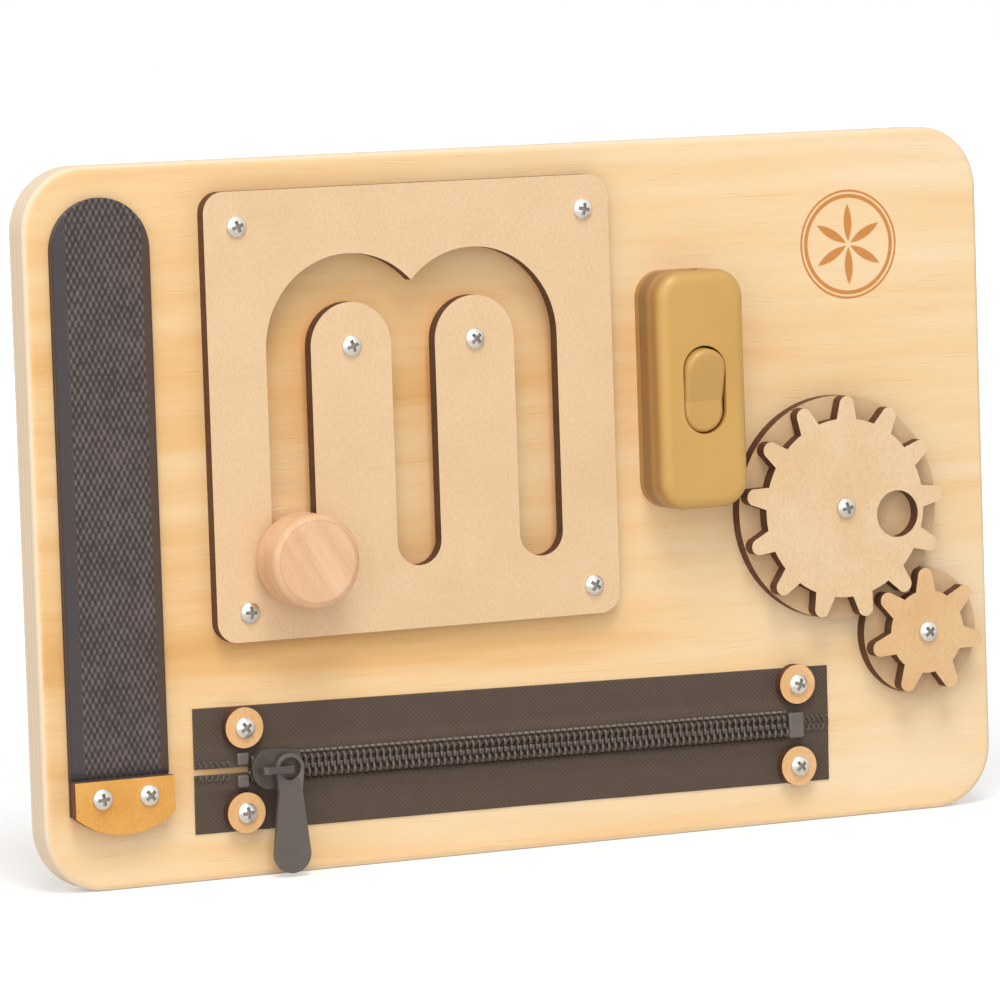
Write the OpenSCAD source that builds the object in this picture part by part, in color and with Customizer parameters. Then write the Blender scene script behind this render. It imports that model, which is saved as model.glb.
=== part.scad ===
// Wooden busy board: a plywood board that stands on its long edge and carries
// a hook-and-loop strap, a knob that runs in an m-shaped track, a rocker
// switch, two meshing gears and a zipper.
// X runs to the right, Z up, and the front of the board faces -Y.
// The origin is the middle of the edge that the board stands on.

/* [Board] */
// Thickness of the plywood board
board_t = 12; // [10:0.5:18]
// Radius of the board's four corners
corner_r = 18; // [8:1:24]
// Radius rounded over along every edge
edge_r = 2; // [1:0.5:3]
// Bare board above the track panel and the strap
top_margin = 8.8; // [6:0.1:30]
// Bare board below the zipper tape
bottom_margin = 12.6; // [12:0.1:30]
// Bare board left of the strap
left_margin = 7; // [5:0.1:30]
// Bare board right of the small gear
right_margin = 6.9; // [5:0.1:30]

/* [Strap] */
// Width of the hook-and-loop strap
strap_w = 29.3; // [24:0.2:40]
// Thickness of one layer of the strap
strap_t = 1.2; // [1:0.1:2]
// How much wider the clamp plate is than the strap
clamp_more = 0.3; // [0:0.1:3]
// Height of the clamp plate's straight sides
clamp_side = 9.9; // [8:0.1:16]
// Depth of the curved lower end of the clamp plate
clamp_bow = 5.4; // [3:0.2:8]
// Lowest point of the clamp plate above the standing edge
clamp_z = 16.1; // [8:0.1:24]
// Distance between the two clamp screws
clamp_screw_gap = 14; // [10:0.1:16]
// Distance of the clamp screws below the plate's top
clamp_screw_drop = 5; // [4:0.1:5.5]

/* [Track panel] */
// Width and height of the track panel
panel_w = 125; // [122:0.5:140]
// Radius of the panel's corners
panel_r = 6; // [2:0.5:10]
// Thickness of the track panel
panel_t = 4; // [3:0.5:6]
// Distance of the corner screws from the panel's edges
panel_screw_in = 9; // [6:0.25:10]
// How far the corner screws sit right of and above the panel's middle
panel_screw_off = [0.7, -0.8]; // [-1:0.1:1]
// Board between the strap and the panel
strap_gap = 15.4; // [6:0.1:30]
// Board between the panel and the zipper tape
zip_gap = 19.4; // [8:0.1:40]
// Width of the slot
track_w = 13.6; // [12:0.1:15]
// Distance from one leg of the slot to the next, as a share of the panel's width
leg_share = 0.3056; // [0.298:0.001:0.32]
// Height of the legs up to the arches' middle, as a share of the panel's width
rise_share = 0.4472; // [0.32:0.001:0.48]
// Distance from the panel's top to the arches, as a share of the panel's width
arch_share = 0.1496; // [0.1:0.001:0.17]
// How much lower the first leg ends
first_leg_drop = 2.2; // [0:0.1:3]

/* [Knob] */
// Diameter of the knob
knob_d = 26.4; // [20:0.2:28]
// Thickness of the knob
knob_t = 13; // [10:0.5:18]
// Gap between the panel and the knob
knob_gap = 2.5; // [2.2:0.1:4]
// Diameter of the disc that holds the knob in the track
glide_d = 28; // [20:0.5:29]
// Thickness of that disc
glide_t = 3; // [2:0.1:4]

/* [Switch] */
// Width of the switch
switch_w = 28; // [26:0.5:34]
// Length of the switch
switch_l = 68; // [66:1:80]
// Depth of the switch
switch_t = 15; // [15:0.5:20]
// Radius of the switch's corners
switch_r = 8; // [7:0.5:12]
// Radius round the front of the switch
switch_soft_r = 3.5; // [2:0.5:4]
// Thickness of the plate at the back of the switch
switch_base_t = 3; // [2.5:0.1:4]
// Board between the panel and the switch
switch_gap = 9.6; // [4:0.1:30]
// Width of the rocker
rocker_w = 12.6; // [10:0.1:13]
// Length of the rocker
rocker_l = 24.2; // [22:0.2:28]
// Gap round the rocker
rocker_play = 0.5; // [0.4:0.05:0.8]
// How far the rocker tips to either side, in degrees
rocker_tip = 7; // [4:0.5:8]

/* [Gears] */
// Teeth of the large gear
big_teeth = 13; // [12:1:14]
// Teeth of the small gear
small_teeth = 7; // [7:1:8]
// Width that one tooth and one gap take on the pitch circle, divided by pi
gear_module = 4.6; // [4.4:0.1:5]
// Direction from the large gear's axle to the small one's, in degrees
axle_dir = -55.4; // [-70:0.1:-45]
// How far a tooth reaches past the pitch circle
tooth_out = 2.5; // [2:0.05:2.8]
// How far the gap between teeth reaches inside the pitch circle
tooth_in = 4; // [3.4:0.05:4.2]
// Width of a tooth at the gear's body
tooth_foot = 6.4; // [6:0.1:6.8]
// Width of a tooth at its round tip
tooth_head = 4.8; // [4:0.1:5]
// Turn of the large gear past the line between the axles, in degrees
mesh_turn = 4.3; // [0:0.1:6]
// Thickness of the gears
gear_t = 4; // [3:0.1:5]
// Thickness of the plate under the gears
gear_base_t = 4; // [2:0.1:5]
// Gap between the gears and that plate
gear_lift = 0.5; // [0.4:0.1:1]
// Diameter of the finger hole in the large gear
finger_d = 13.6; // [10:0.1:14]
// Distance of the finger hole from the large gear's axle
finger_out = 17.4; // [14:0.1:18]
// Direction of the finger hole, in degrees
finger_dir = -9.2; // [-40:0.1:40]
// Height of the large gear's axle above the standing edge
gear_z = 91.3; // [84:0.1:110]
// Board between the switch and the large gear
gear_gap = 1.7; // [1:0.1:20]

/* [Zipper] */
// Length of the zipper tape
zip_l = 200.5; // [150:0.5:260]
// Width of the zipper across both tapes
zip_w = 34.2; // [32:0.2:40]
// Thickness of the tape
tape_t = 0.5; // [0.4:0.05:0.8]
// Gap between the two tapes
tape_split = 1.7; // [1.6:0.1:2]
// Board between the strap and the zipper
zip_margin = 8.2; // [4:0.1:20]
// Least board between the zipper and the plate under the small gear
zip_clear = 6; // [2:0.5:20]
// Width of the closed row of teeth
chain_w = 6.5; // [5.5:0.1:7]
// Height of the teeth above the tape
chain_t = 2.3; // [2:0.1:2.6]
// Distance from one tooth to the next along a tape
tooth_pitch = 2; // [1.8:0.1:2.6]
// Length of the slider
slider_l = 14.5; // [13:0.5:18]
// Width of the slider at its shoulders
slider_w = 11.2; // [10.6:0.1:11.6]
// Length of the pull below its pivot
pull_l = 29.3; // [20:0.1:29.3]
// Width of the pull at its lower end
pull_w = 11; // [9:0.2:13]
// Thickness of the pull
pull_t = 1.8; // [1.2:0.1:2]
// Distance of the left washers from the end of the tape
washer_in_left = 14.2; // [8:0.1:18]
// Distance of the right washers from the end of the tape
washer_in_right = 11.4; // [8:0.1:18]
// Diameter of the washers that hold the tape down
washer_d = 11.4; // [9:0.1:11.4]
// Slope of the whole zipper, in degrees down to the right
zip_tilt = 0.55; // [0:0.05:1]
// Thickness of the washers and of the clamp plate
washer_t = 3; // [2.5:0.1:3.2]
// Distance between the upper and the lower washers
washer_gap = 23.8; // [23.8:0.1:26]

/* [Screws] */
// Diameter of the screw heads
head_d = 5.8; // [5.4:0.1:6.8]
// Height of the screw heads
head_t = 1.9; // [1.4:0.1:2]
// Diameter of the screws
screw_d = 3; // [2.5:0.1:3.5]
// Length of the screws in the board
screw_bite = 7; // [5:0.5:8]

/* [Hidden] */

$fn = 48;

fit = 0.05;              // radial clearance of a pin in its hole
seat = 0.3;              // gap between two pieces that nearly touch
cut = 1;                 // how far a cutter reaches past a face

// Left to right: strap, panel, switch, gears.
strap_x = left_margin + strap_w / 2;
panel_x = left_margin + strap_w + strap_gap + panel_w / 2;
zip_x = left_margin + strap_w + zip_margin;
switch_x = panel_x + panel_w / 2 + switch_gap + switch_w / 2;
big_pitch_r = gear_module * big_teeth / 2;
small_pitch_r = gear_module * small_teeth / 2;
axle_gap = big_pitch_r + small_pitch_r;
big_tip_r = big_pitch_r + tooth_out;
small_tip_r = small_pitch_r + tooth_out;
// The gears move right for a long zipper, which would run under them.
gear_x = max(switch_x + switch_w / 2 + gear_gap + big_tip_r,
    zip_x + zip_l + zip_clear + small_tip_r - axle_gap * cos(axle_dir));
small_x = gear_x + axle_gap * cos(axle_dir);
small_z = gear_z + axle_gap * sin(axle_dir);
board_w = max(small_x + small_tip_r, gear_x + big_tip_r) + right_margin;

// Bottom to top: zipper, panel.
zip_z = bottom_margin + zip_w / 2;
panel_z = bottom_margin + zip_w + zip_gap + panel_w / 2;
board_h = panel_z + panel_w / 2 + top_margin;

// Strap.
clamp_w = strap_w + clamp_more;
clamp_top = clamp_z + clamp_bow + clamp_side;
strap_top = board_h - top_margin;
strap_r = strap_w / 2;
strap_stack = 2 * strap_t;

// Slot: three legs joined by two arches, and a wider channel behind it.
leg_pitch = panel_w * leg_share;
arch_r = leg_pitch / 2;
arch_z = panel_z + panel_w * (0.5 - arch_share) - arch_r - track_w / 2;
foot_z = arch_z - panel_w * rise_share;
knob_z = foot_z - first_leg_drop;
knob_x = panel_x - leg_pitch;
neck_r = track_w / 2 - 0.1;
channel_w = glide_d + 2 * seat;
channel_t = glide_t + 2 * seat;
knob_back = panel_t + knob_gap;
panel_screw = panel_w / 2 - panel_screw_in;
knob_screw_d = 3.5;
csk_d = 7.2;
csk_t = 1.8;
knob_screw_l = glide_t + panel_t + knob_gap + 8;

// Switch.
switch_z = panel_z;
roof_t = 1.8;
wall_t = 3.2;
pivot_h = switch_t - 2.8;
pin_r = 1;               // rocker's pin, and the screws that hold the cover
pin_bite = 6;
tower_x = rocker_w / 2 + rocker_play;
tower_t = 2;
tower_w = 5;
post_r = 3;
post_z = switch_l / 2 - 2.5 * post_r - 3;
fix_z = post_z - post_r - head_d / 2 - 0.3;
block = [6, 4, 3];       // brass block that grips a wire
block_z = fix_z - head_d / 2 - block.y / 2 - 0.3;
leaf_t = 0.5;
leaf_w = 4;
foot_w = 10;             // width and drop of the rocker's foot
foot_drop = 4.2;
cord_hole_d = 6;

// Gears.
big_root_r = big_pitch_r - tooth_in;
small_root_r = small_pitch_r - tooth_in;
gear_h = gear_base_t + gear_lift;
gear_face = gear_h + gear_t;
bush_r = screw_d / 2 + 1;
big_turn = axle_dir + mesh_turn;
small_turn = axle_dir + 180 - mesh_turn * big_teeth / small_teeth
    + 180 / small_teeth;

// Zipper. The tapes lie on the board and rise round the slider's back plate.
tape_lift = 1;
rise_in = slider_w / 2 - 0.7;
rise_out = slider_w / 2 + 0.3;
chain_h = tape_lift + tape_t;
chain_face = chain_h + chain_t;
washer_x = [zip_x + washer_in_left, zip_x + zip_l - washer_in_right];
stop_l = 3.5;
top_stop_x = washer_x[0] - 2.2;
slider_x = top_stop_x + stop_l + 0.2;
bottom_stop_x = washer_x[1] - 3;
bottom_stop_l = 4.8;
chain_x = slider_x + 0.1;
chain_l = bottom_stop_x - chain_x;
plate_t = 1.2;
slider_face = chain_face + 0.4 + plate_t;
pull_h = slider_face + 0.8;
pull_x = 10.2;
bridge_t = 1.6;
bridge_w = 2;
ring_r = 4.3;
ring_hole_r = 3.1;

// ---- Shared shapes ------------------------------------------------------

// Board coordinates: x from the left edge, y up from the standing edge,
// z out of the front face.
module on_board() {
    translate([-board_w / 2, -board_t / 2, 0]) rotate([90, 0, 0]) children();
}

module rounded(w, h, r) {
    square([w - 2 * r, h], center = true);
    square([w, h - 2 * r], center = true);
    for (x = [-1, 1], y = [-1, 1])
        translate([x * (w / 2 - r), y * (h / 2 - r)]) circle(r);
}

// Section of a slab w wide, from 0 to t, with its front and back edges round.
module slab_section(w, t, front_r, back_r) {
    translate([-w / 2, back_r]) square([w, t - front_r - back_r]);
    translate([-w / 2 + front_r, 0]) square([w - 2 * front_r, t]);
    translate([-w / 2 + back_r, 0]) square([w - 2 * back_r, t - front_r]);
    for (x = [-1, 1]) {
        translate([x * (w / 2 - front_r), t - front_r]) circle(front_r);
        if (back_r > 0) translate([x * (w / 2 - back_r), back_r]) circle(back_r);
    }
}

// Slab with round corners and rounded-over edges, centred in x and y.
module soft_slab(w, h, t, r, front_r, back_r) {
    rotate([90, 0, 0]) translate([0, 0, -h / 2 + r])
        linear_extrude(h - 2 * r) slab_section(w, t, front_r, back_r);
    rotate([90, 0, 90]) translate([0, 0, -w / 2 + r])
        linear_extrude(w - 2 * r) slab_section(h, t, front_r, back_r);
    for (x = [-1, 1], y = [-1, 1])
        translate([x * (w / 2 - r), y * (h / 2 - r), 0])
            rotate_extrude() intersection() {
                slab_section(2 * r, t, front_r, back_r);
                square([r, t]);
            }
}

// Pan head screw: seat of the head at z = 0, shank down.
module screw(bite) {
    difference() {
        rotate_extrude() {
            intersection() {
                translate([0, head_t - head_d * 0.72]) circle(head_d * 0.72);
                square([head_d / 2, head_t]);
            }
            translate([0, -bite]) square([screw_d / 2, bite + 0.2]);
        }
        for (a = [0, 90]) rotate([0, 0, a + $turn])
            translate([-head_d * 0.3, -head_d * 0.085, head_t - 1.2])
                cube([head_d * 0.6, head_d * 0.17, 1.2 + cut]);
    }
}

// Hole for a screw, blind by half a millimetre past its end.
module screw_hole(bite) {
    translate([0, 0, -bite - 0.5]) cylinder(r = screw_d / 2 + fit, h = bite + 0.5 + cut);
}

// Each place also turns its screw's cross a little differently.
module at_clamp_screws() {
    for (s = [-1, 1]) let ($turn = 24 + 17 * s)
        translate([strap_x + s * clamp_screw_gap / 2, clamp_top - clamp_screw_drop, 0])
            children();
}

module at_panel_screws() {
    for (x = [-1, 1], y = [-1, 1]) let ($turn = 38 + 29 * x + 11 * y)
        translate([panel_x + panel_screw_off.x + x * panel_screw,
            panel_z + panel_screw_off.y + y * panel_screw, 0]) children();
    for (s = [-1, 1]) let ($turn = 31 + 12 * s)
        translate([panel_x + s * arch_r, arch_z, 0]) children();
}

module at_axles() {
    let ($turn = 12) translate([gear_x, gear_z, 0]) children();
    let ($turn = 40) translate([small_x, small_z, 0]) children();
}

// The zipper slopes about the middle of its tape.
module slope_zip() {
    translate([zip_x + zip_l / 2, zip_z, 0]) rotate([0, 0, -zip_tilt])
        translate([-zip_x - zip_l / 2, -zip_z, 0]) children();
}

module at_washers() {
    for (i = [0, 1], s = [-1, 1]) let ($turn = 20 + 35 * i + 14 * s)
        translate([washer_x[i], zip_z + s * washer_gap / 2, 0]) children();
}

module at_fixings() {
    for (s = [-1, 1]) let ($turn = 15 + 20 * s)
        translate([switch_x, switch_z + s * fix_z, 0]) children();
}

module at_posts() {
    for (s = [-1, 1]) translate([switch_x, switch_z + s * post_z, 0]) children();
}

module at_switch() {
    translate([switch_x, switch_z, 0]) children();
}

// Cutter for a hole of radius r through a plate of thickness t.
module through(r, t) {
    translate([0, 0, -cut]) cylinder(r = r, h = t + 2 * cut);
}

// ---- Board --------------------------------------------------------------

module board() {
    color("#f3d9ab") on_board() difference() {
        translate([board_w / 2, board_h / 2, -board_t])
            soft_slab(board_w, board_h, board_t, corner_r, edge_r, edge_r);
        translate([0, 0, -channel_t]) linear_extrude(channel_t + cut) track_shape(channel_w);
        at_clamp_screws() screw_hole(screw_bite);
        at_panel_screws() screw_hole(screw_bite);
        at_axles() screw_hole(screw_bite);
        slope_zip() at_washers() screw_hole(screw_bite);
        at_fixings() screw_hole(screw_bite);
    }
}

// ---- Strap --------------------------------------------------------------

module strap_shape(low) {
    translate([strap_x - strap_r, low]) square([strap_w, strap_top - strap_r - low]);
    translate([strap_x, strap_top - strap_r]) circle(strap_r, $fn = 96);
}

module clamp_shape() {
    bow_r = (clamp_w * clamp_w / 4 + clamp_bow * clamp_bow) / (2 * clamp_bow);
    translate([strap_x - clamp_w / 2, clamp_z + clamp_bow]) square([clamp_w, clamp_side]);
    intersection() {
        translate([strap_x, clamp_z + bow_r]) circle(bow_r, $fn = 96);
        translate([strap_x - clamp_w / 2, clamp_z]) square([clamp_w, clamp_bow + 0.01]);
    }
}

// The part of the strap that the clamp plate covers.
module strap_end_shape() {
    difference() {
        translate([strap_x - clamp_w / 2 + 0.4, clamp_z + clamp_bow])
            square([clamp_w - 0.8, clamp_side]);
        at_clamp_screws() circle(screw_d / 2 + fit);
    }
}

// Hook side, glued to the board.
module hook_strip() {
    color("#332f2e") on_board() linear_extrude(strap_t) {
        strap_shape(clamp_top);
        strap_end_shape();
    }
}

// Loop side, which peels off the hooks down to the clamp.
module loop_strap() {
    color("#3d3837") on_board() translate([0, 0, strap_t])
        linear_extrude(strap_t) strap_shape(clamp_top + seat);
}

module strap_tail() {
    color("#3d3837") on_board() translate([0, 0, strap_t])
        linear_extrude(strap_t) strap_end_shape();
}

module clamp_plate() {
    color("#e09a4a") on_board() translate([0, 0, strap_stack]) difference() {
        linear_extrude(washer_t) clamp_shape();
        at_clamp_screws() through(screw_d / 2 + fit, washer_t);
    }
}

module clamp_screws() {
    color("#c9cbcc") on_board() at_clamp_screws()
        translate([0, 0, strap_stack + washer_t]) screw(strap_stack + washer_t + screw_bite);
}

// ---- Track panel --------------------------------------------------------

// The m, w wide: three legs and two half rings.
module track_shape(w) {
    for (i = [-1, 0, 1]) {
        foot = i == -1 ? knob_z : foot_z;
        translate([panel_x + i * leg_pitch - w / 2, foot]) square([w, arch_z - foot]);
        translate([panel_x + i * leg_pitch, foot]) circle(w / 2);
    }
    for (s = [-1, 1]) translate([panel_x + s * arch_r, arch_z]) difference() {
        circle(arch_r + w / 2, $fn = 96);
        circle(arch_r - w / 2);
        translate([-2 * arch_r, -2 * arch_r - w]) square([4 * arch_r, 2 * arch_r + w]);
    }
}

module track_panel() {
    color("#e3c293") on_board() difference() {
        translate([panel_x, panel_z, 0]) linear_extrude(panel_t) rounded(panel_w, panel_w, panel_r);
        translate([0, 0, -cut]) linear_extrude(panel_t + 2 * cut) track_shape(track_w);
        at_panel_screws() through(screw_d / 2 + fit, panel_t);
    }
}

module panel_screws() {
    color("#c9cbcc") on_board() at_panel_screws()
        translate([0, 0, panel_t]) screw(panel_t + screw_bite);
}

// ---- Knob ---------------------------------------------------------------

module at_knob() {
    translate([knob_x, knob_z, 0]) children();
}

// Turned knob with a neck that runs in the slot.
module knob() {
    color("#e6bd92") on_board() at_knob() difference() {
        rotate_extrude() {
            translate([0, -seat + 0.1]) square([neck_r, knob_back + seat]);
            translate([0, knob_back]) intersection() {
                slab_section(knob_d, knob_t, 2.5, 1.5);
                square([knob_d / 2, knob_t]);
            }
        }
        translate([0, 0, -cut]) cylinder(d = knob_screw_d, h = knob_screw_l - glide_t - seat + cut + 0.5);
    }
}

// Disc in the channel behind the panel; the knob's screw holds the two together.
module glide_disc() {
    color("#e9cfa2") on_board() at_knob() translate([0, 0, -seat - glide_t]) difference() {
        cylinder(d = glide_d, h = glide_t);
        cylinder(r1 = csk_d / 2 + 0.1, r2 = knob_screw_d / 2 + fit, h = csk_t + 0.1);
        through(knob_screw_d / 2 + fit, glide_t);
    }
}

module knob_screw() {
    color("#c9cbcc") on_board() at_knob() translate([0, 0, -seat - glide_t]) {
        cylinder(r1 = csk_d / 2, r2 = knob_screw_d / 2, h = csk_t);
        cylinder(d = knob_screw_d, h = knob_screw_l);
    }
}

// ---- Switch -------------------------------------------------------------

module stadium(w, l) {
    square([w, l - w], center = true);
    for (s = [-1, 1]) translate([0, s * (l - w) / 2]) circle(w / 2);
}

module switch_base() {
    color("#b98f4b") on_board() difference() {
        union() {
            at_switch() linear_extrude(switch_base_t) rounded(switch_w, switch_l, switch_r);
            // two ears that hold the rocker's pin
            at_switch() for (s = [-1, 1])
                translate([s * (tower_x + tower_t / 2) - tower_t / 2, 0, 0]) {
                    translate([0, -tower_w / 2, switch_base_t])
                        cube([tower_t, tower_w, pivot_h - switch_base_t]);
                    intersection() {
                        translate([0, 0, pivot_h]) rotate([0, 90, 0]) cylinder(d = tower_w, h = tower_t);
                        translate([-cut, -tower_w, 0])
                            cube([tower_t + 2 * cut, 2 * tower_w, switch_t - roof_t - 0.1]);
                    }
                }
        }
        at_switch() translate([-switch_w, 0, pivot_h]) rotate([0, 90, 0])
            cylinder(r = pin_r, h = 2 * switch_w);
        at_fixings() through(screw_d / 2 + fit, switch_base_t);
        at_posts() through(pin_r + fit, switch_base_t);
    }
}

module switch_cover() {
    inner_w = switch_w - 2 * wall_t;
    inner_l = switch_l - 2 * wall_t;
    depth = switch_t - switch_base_t;
    color("#cda45a") on_board() difference() {
        union() {
            at_switch() translate([0, 0, switch_base_t]) difference() {
                soft_slab(switch_w, switch_l, depth, switch_r, switch_soft_r, 0);
                translate([0, 0, -cut]) linear_extrude(depth - roof_t + cut)
                    rounded(inner_w, inner_l, switch_r - wall_t);
            }
            at_posts() translate([0, 0, switch_base_t]) cylinder(r = post_r, h = depth - roof_t + 0.1);
        }
        at_posts() translate([0, 0, switch_base_t - cut]) cylinder(r = pin_r, h = pin_bite + 0.5 + cut);
        at_switch() translate([0, 0, switch_base_t]) linear_extrude(depth + cut)
            stadium(rocker_w + 2 * rocker_play, rocker_l + 2 * rocker_play);
        // way in for a cord at each end
        at_switch() translate([0, 0, switch_base_t + 0.8 + cord_hole_d / 2])
            for (s = [-1, 1]) rotate([90 * s, 0, 0])
                translate([0, 0, switch_l / 2 - wall_t - 1]) cylinder(d = cord_hole_d, h = wall_t + 1 + cut);
    }
}

// Rocker with a raised upper half; it tips on the pin.
module switch_rocker() {
    half = rocker_l / 2;
    dip = switch_t - 0.8;
    color("#d6ad62") on_board() at_switch() translate([0, 0, pivot_h]) rotate([rocker_tip, 0, 0])
        translate([0, 0, -pivot_h]) difference() {
            intersection() {
                linear_extrude(2 * switch_t) stadium(rocker_w, rocker_l);
                rotate([90, 0, 90]) translate([0, 0, -rocker_w]) linear_extrude(2 * rocker_w)
                    polygon([
                        [-half, pivot_h - 0.6], [-foot_w / 2, pivot_h - foot_drop],
                        [foot_w / 2, pivot_h - foot_drop],
                        [half, pivot_h - 0.6], [half, dip + 1.7], [half - 3, dip + 1.6],
                        [-2.8, dip], [-half + 3, dip + 1.1], [-half, dip + 1.2]
                    ]);
            }
            translate([-rocker_w, 0, pivot_h]) rotate([0, 90, 0])
                cylinder(r = pin_r + fit, h = 2 * rocker_w);
        }
}

module rocker_pin() {
    reach = tower_x + tower_t;
    color("#b9bcc0") on_board() at_switch() translate([-reach, 0, pivot_h])
        rotate([0, 90, 0]) cylinder(r = pin_r, h = 2 * reach);
}

// Brass strip on the base, bent up towards the rocker's foot.
module contact_leaf() {
    low = switch_base_t;
    top = pivot_h - foot_drop - 0.9;
    flat = block_z - block.y / 2 - 0.2;
    color("#c99a3c") on_board() at_switch() rotate([90, 0, 90])
        translate([0, 0, -leaf_w / 2]) linear_extrude(leaf_w)
            polygon([
                [-flat, low], [-leaf_w, low], [-0.6 * leaf_w, top - leaf_t],
                [0.6 * leaf_w, top - leaf_t], [leaf_w, low], [flat, low],
                [flat, low + leaf_t], [1.1 * leaf_w, low + leaf_t], [0.7 * leaf_w, top],
                [-0.7 * leaf_w, top], [-1.1 * leaf_w, low + leaf_t], [-flat, low + leaf_t]
            ]);
}

// Brass blocks, each with the screw that grips a wire.
module switch_terminals() {
    color("#c99a3c") on_board() at_switch() for (s = [-1, 1])
        translate([0, s * block_z, switch_base_t]) {
            translate([-block.x / 2, -block.y / 2, 0]) cube(block);
            translate([0, 0, block.z - 0.1]) cylinder(r = block.x / 4, h = 0.9);
        }
}

// Screws that pull the cover onto the base from behind.
module cover_screws() {
    color("#c9cbcc") on_board() at_posts() cylinder(r = pin_r, h = switch_base_t + pin_bite);
}

module switch_screws() {
    color("#c9cbcc") on_board() at_fixings()
        translate([0, 0, switch_base_t]) screw(switch_base_t + screw_bite);
}

// ---- Gears --------------------------------------------------------------

// Straight tapered tooth with a round tip, along +X.
module tooth(root_r, tip_r) {
    round_r = tooth_head / 2;
    polygon([
        [root_r - 2, -tooth_foot / 2], [root_r, -tooth_foot / 2],
        [tip_r - round_r, -round_r], [tip_r - round_r, round_r],
        [root_r, tooth_foot / 2], [root_r - 2, tooth_foot / 2]
    ]);
    translate([tip_r - round_r, 0]) circle(round_r, $fn = 32);
}

module gear(teeth, root_r, tip_r, turn) {
    linear_extrude(gear_t) {
        circle(root_r, $fn = 96);
        for (i = [0 : teeth - 1]) rotate(turn + i * 360 / teeth) tooth(root_r, tip_r);
    }
}

// Two round plates in one piece, glued to the board under the gears.
module gear_base() {
    color("#d9b787") on_board() difference() {
        linear_extrude(gear_base_t) {
            translate([gear_x, gear_z]) circle(big_tip_r, $fn = 96);
            translate([small_x, small_z]) circle(small_tip_r, $fn = 96);
        }
        at_axles() through(screw_d / 2 + fit, gear_base_t);
    }
}

module big_gear() {
    color("#e8c797") on_board() translate([gear_x, gear_z, gear_h]) difference() {
        gear(big_teeth, big_root_r, big_tip_r, big_turn);
        through(bush_r + fit, gear_t);
        rotate(finger_dir) translate([finger_out, 0, 0]) through(finger_d / 2, gear_t);
    }
}

module small_gear() {
    color("#e3bd88") on_board() translate([small_x, small_z, gear_h]) difference() {
        gear(small_teeth, small_root_r, small_tip_r, small_turn);
        through(bush_r + fit, gear_t);
    }
}

// Thin rings that hold the gears off the plate.
module gear_spacers() {
    color("#e8e4da") on_board() at_axles() translate([0, 0, gear_base_t]) difference() {
        cylinder(r = bush_r + 2.5, h = gear_lift - 0.1);
        through(bush_r, gear_lift);
    }
}

// Sleeves that the screws clamp down and the gears turn on.
module gear_bushes() {
    sleeve_l = gear_lift + gear_t + 0.1;
    color("#b9bcc0") on_board() at_axles() translate([0, 0, gear_base_t]) difference() {
        cylinder(r = bush_r, h = sleeve_l);
        through(screw_d / 2 + fit, sleeve_l);
    }
}

module gear_screws() {
    color("#c9cbcc") on_board() at_axles()
        translate([0, 0, gear_face + 0.1]) screw(gear_face + 0.1 + screw_bite);
}

// ---- Zipper -------------------------------------------------------------

// Section across the upper tape: flat outside, raised beside the teeth.
module tape_section() {
    polygon([
        [tape_split / 2, tape_lift], [rise_in, tape_lift], [rise_out, 0], [zip_w / 2, 0],
        [zip_w / 2, tape_t], [rise_out + 0.3, tape_t], [rise_in + 0.3, tape_lift + tape_t],
        [tape_split / 2, tape_lift + tape_t]
    ]);
}

module tape() {
    difference() {
        translate([zip_x, zip_z, 0]) rotate([90, 0, 90]) linear_extrude(zip_l) tape_section();
        at_washers() through(screw_d / 2 + fit, tape_t);
    }
}

module flip_zip() {
    translate([0, 2 * zip_z, 0]) mirror([0, 1, 0]) children();
}

module zip_tape_upper() {
    color("#5b524b") on_board() slope_zip() tape();
}

module zip_tape_lower() {
    color("#5b524b") on_board() slope_zip() flip_zip() tape();
}

// One side of the row: a rib on the tape and teeth that reach past the middle.
// They are cut short where the slider's post holds the two sides apart.
module coil(phase) {
    count = floor((chain_l - 0.4 - phase) / tooth_pitch);
    reach = 0.55;
    wide = tooth_pitch * 0.4;
    head = 0.9;
    color("#3a3532") on_board() slope_zip() if (phase == 0) comb(); else flip_zip() comb();

    module comb() {
        translate([0, 0, chain_h]) difference() {
            union() {
                translate([chain_x, zip_z + 1.9, 0]) cube([chain_l, chain_w / 2 - 1.9, chain_t * 0.55]);
                for (i = [0 : count - 1]) translate([chain_x + 0.3 + phase + i * tooth_pitch, zip_z, 0]) {
                    translate([0, -reach, 0]) cube([wide, chain_w / 2 + reach, chain_t]);
                    translate([-0.1, -reach, chain_t * 0.25]) cube([wide + 0.2, head, chain_t * 0.5]);
                }
            }
            translate([slider_x - cut, zip_z - 2, -cut]) cube([6.3 + cut, 2.9, chain_t + 2 * cut]);
        }
    }
}

module zip_coil_upper() {
    coil(0);
}

module zip_coil_lower() {
    coil(tooth_pitch / 2);
}

module zip_top_stops() {
    color("#5c5552") on_board() slope_zip() for (s = [-1, 1])
        translate([top_stop_x, zip_z + s * 3.1 - 1.8, chain_h])
            cube([stop_l, 3.6, chain_t * 0.8]);
}

module zip_bottom_stop() {
    color("#5c5552") on_board() slope_zip() translate([bottom_stop_x, zip_z - 3.7, chain_h])
        cube([bottom_stop_l, 7.4, chain_t]);
}

module zip_washers() {
    color("#e0a05c") on_board() slope_zip() at_washers() translate([0, 0, tape_t]) difference() {
        cylinder(d = washer_d, h = washer_t);
        through(screw_d / 2 + fit, washer_t);
    }
}

module zip_screws() {
    color("#c9cbcc") on_board() slope_zip() at_washers()
        translate([0, 0, tape_t + washer_t]) screw(tape_t + washer_t + screw_bite);
}

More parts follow.
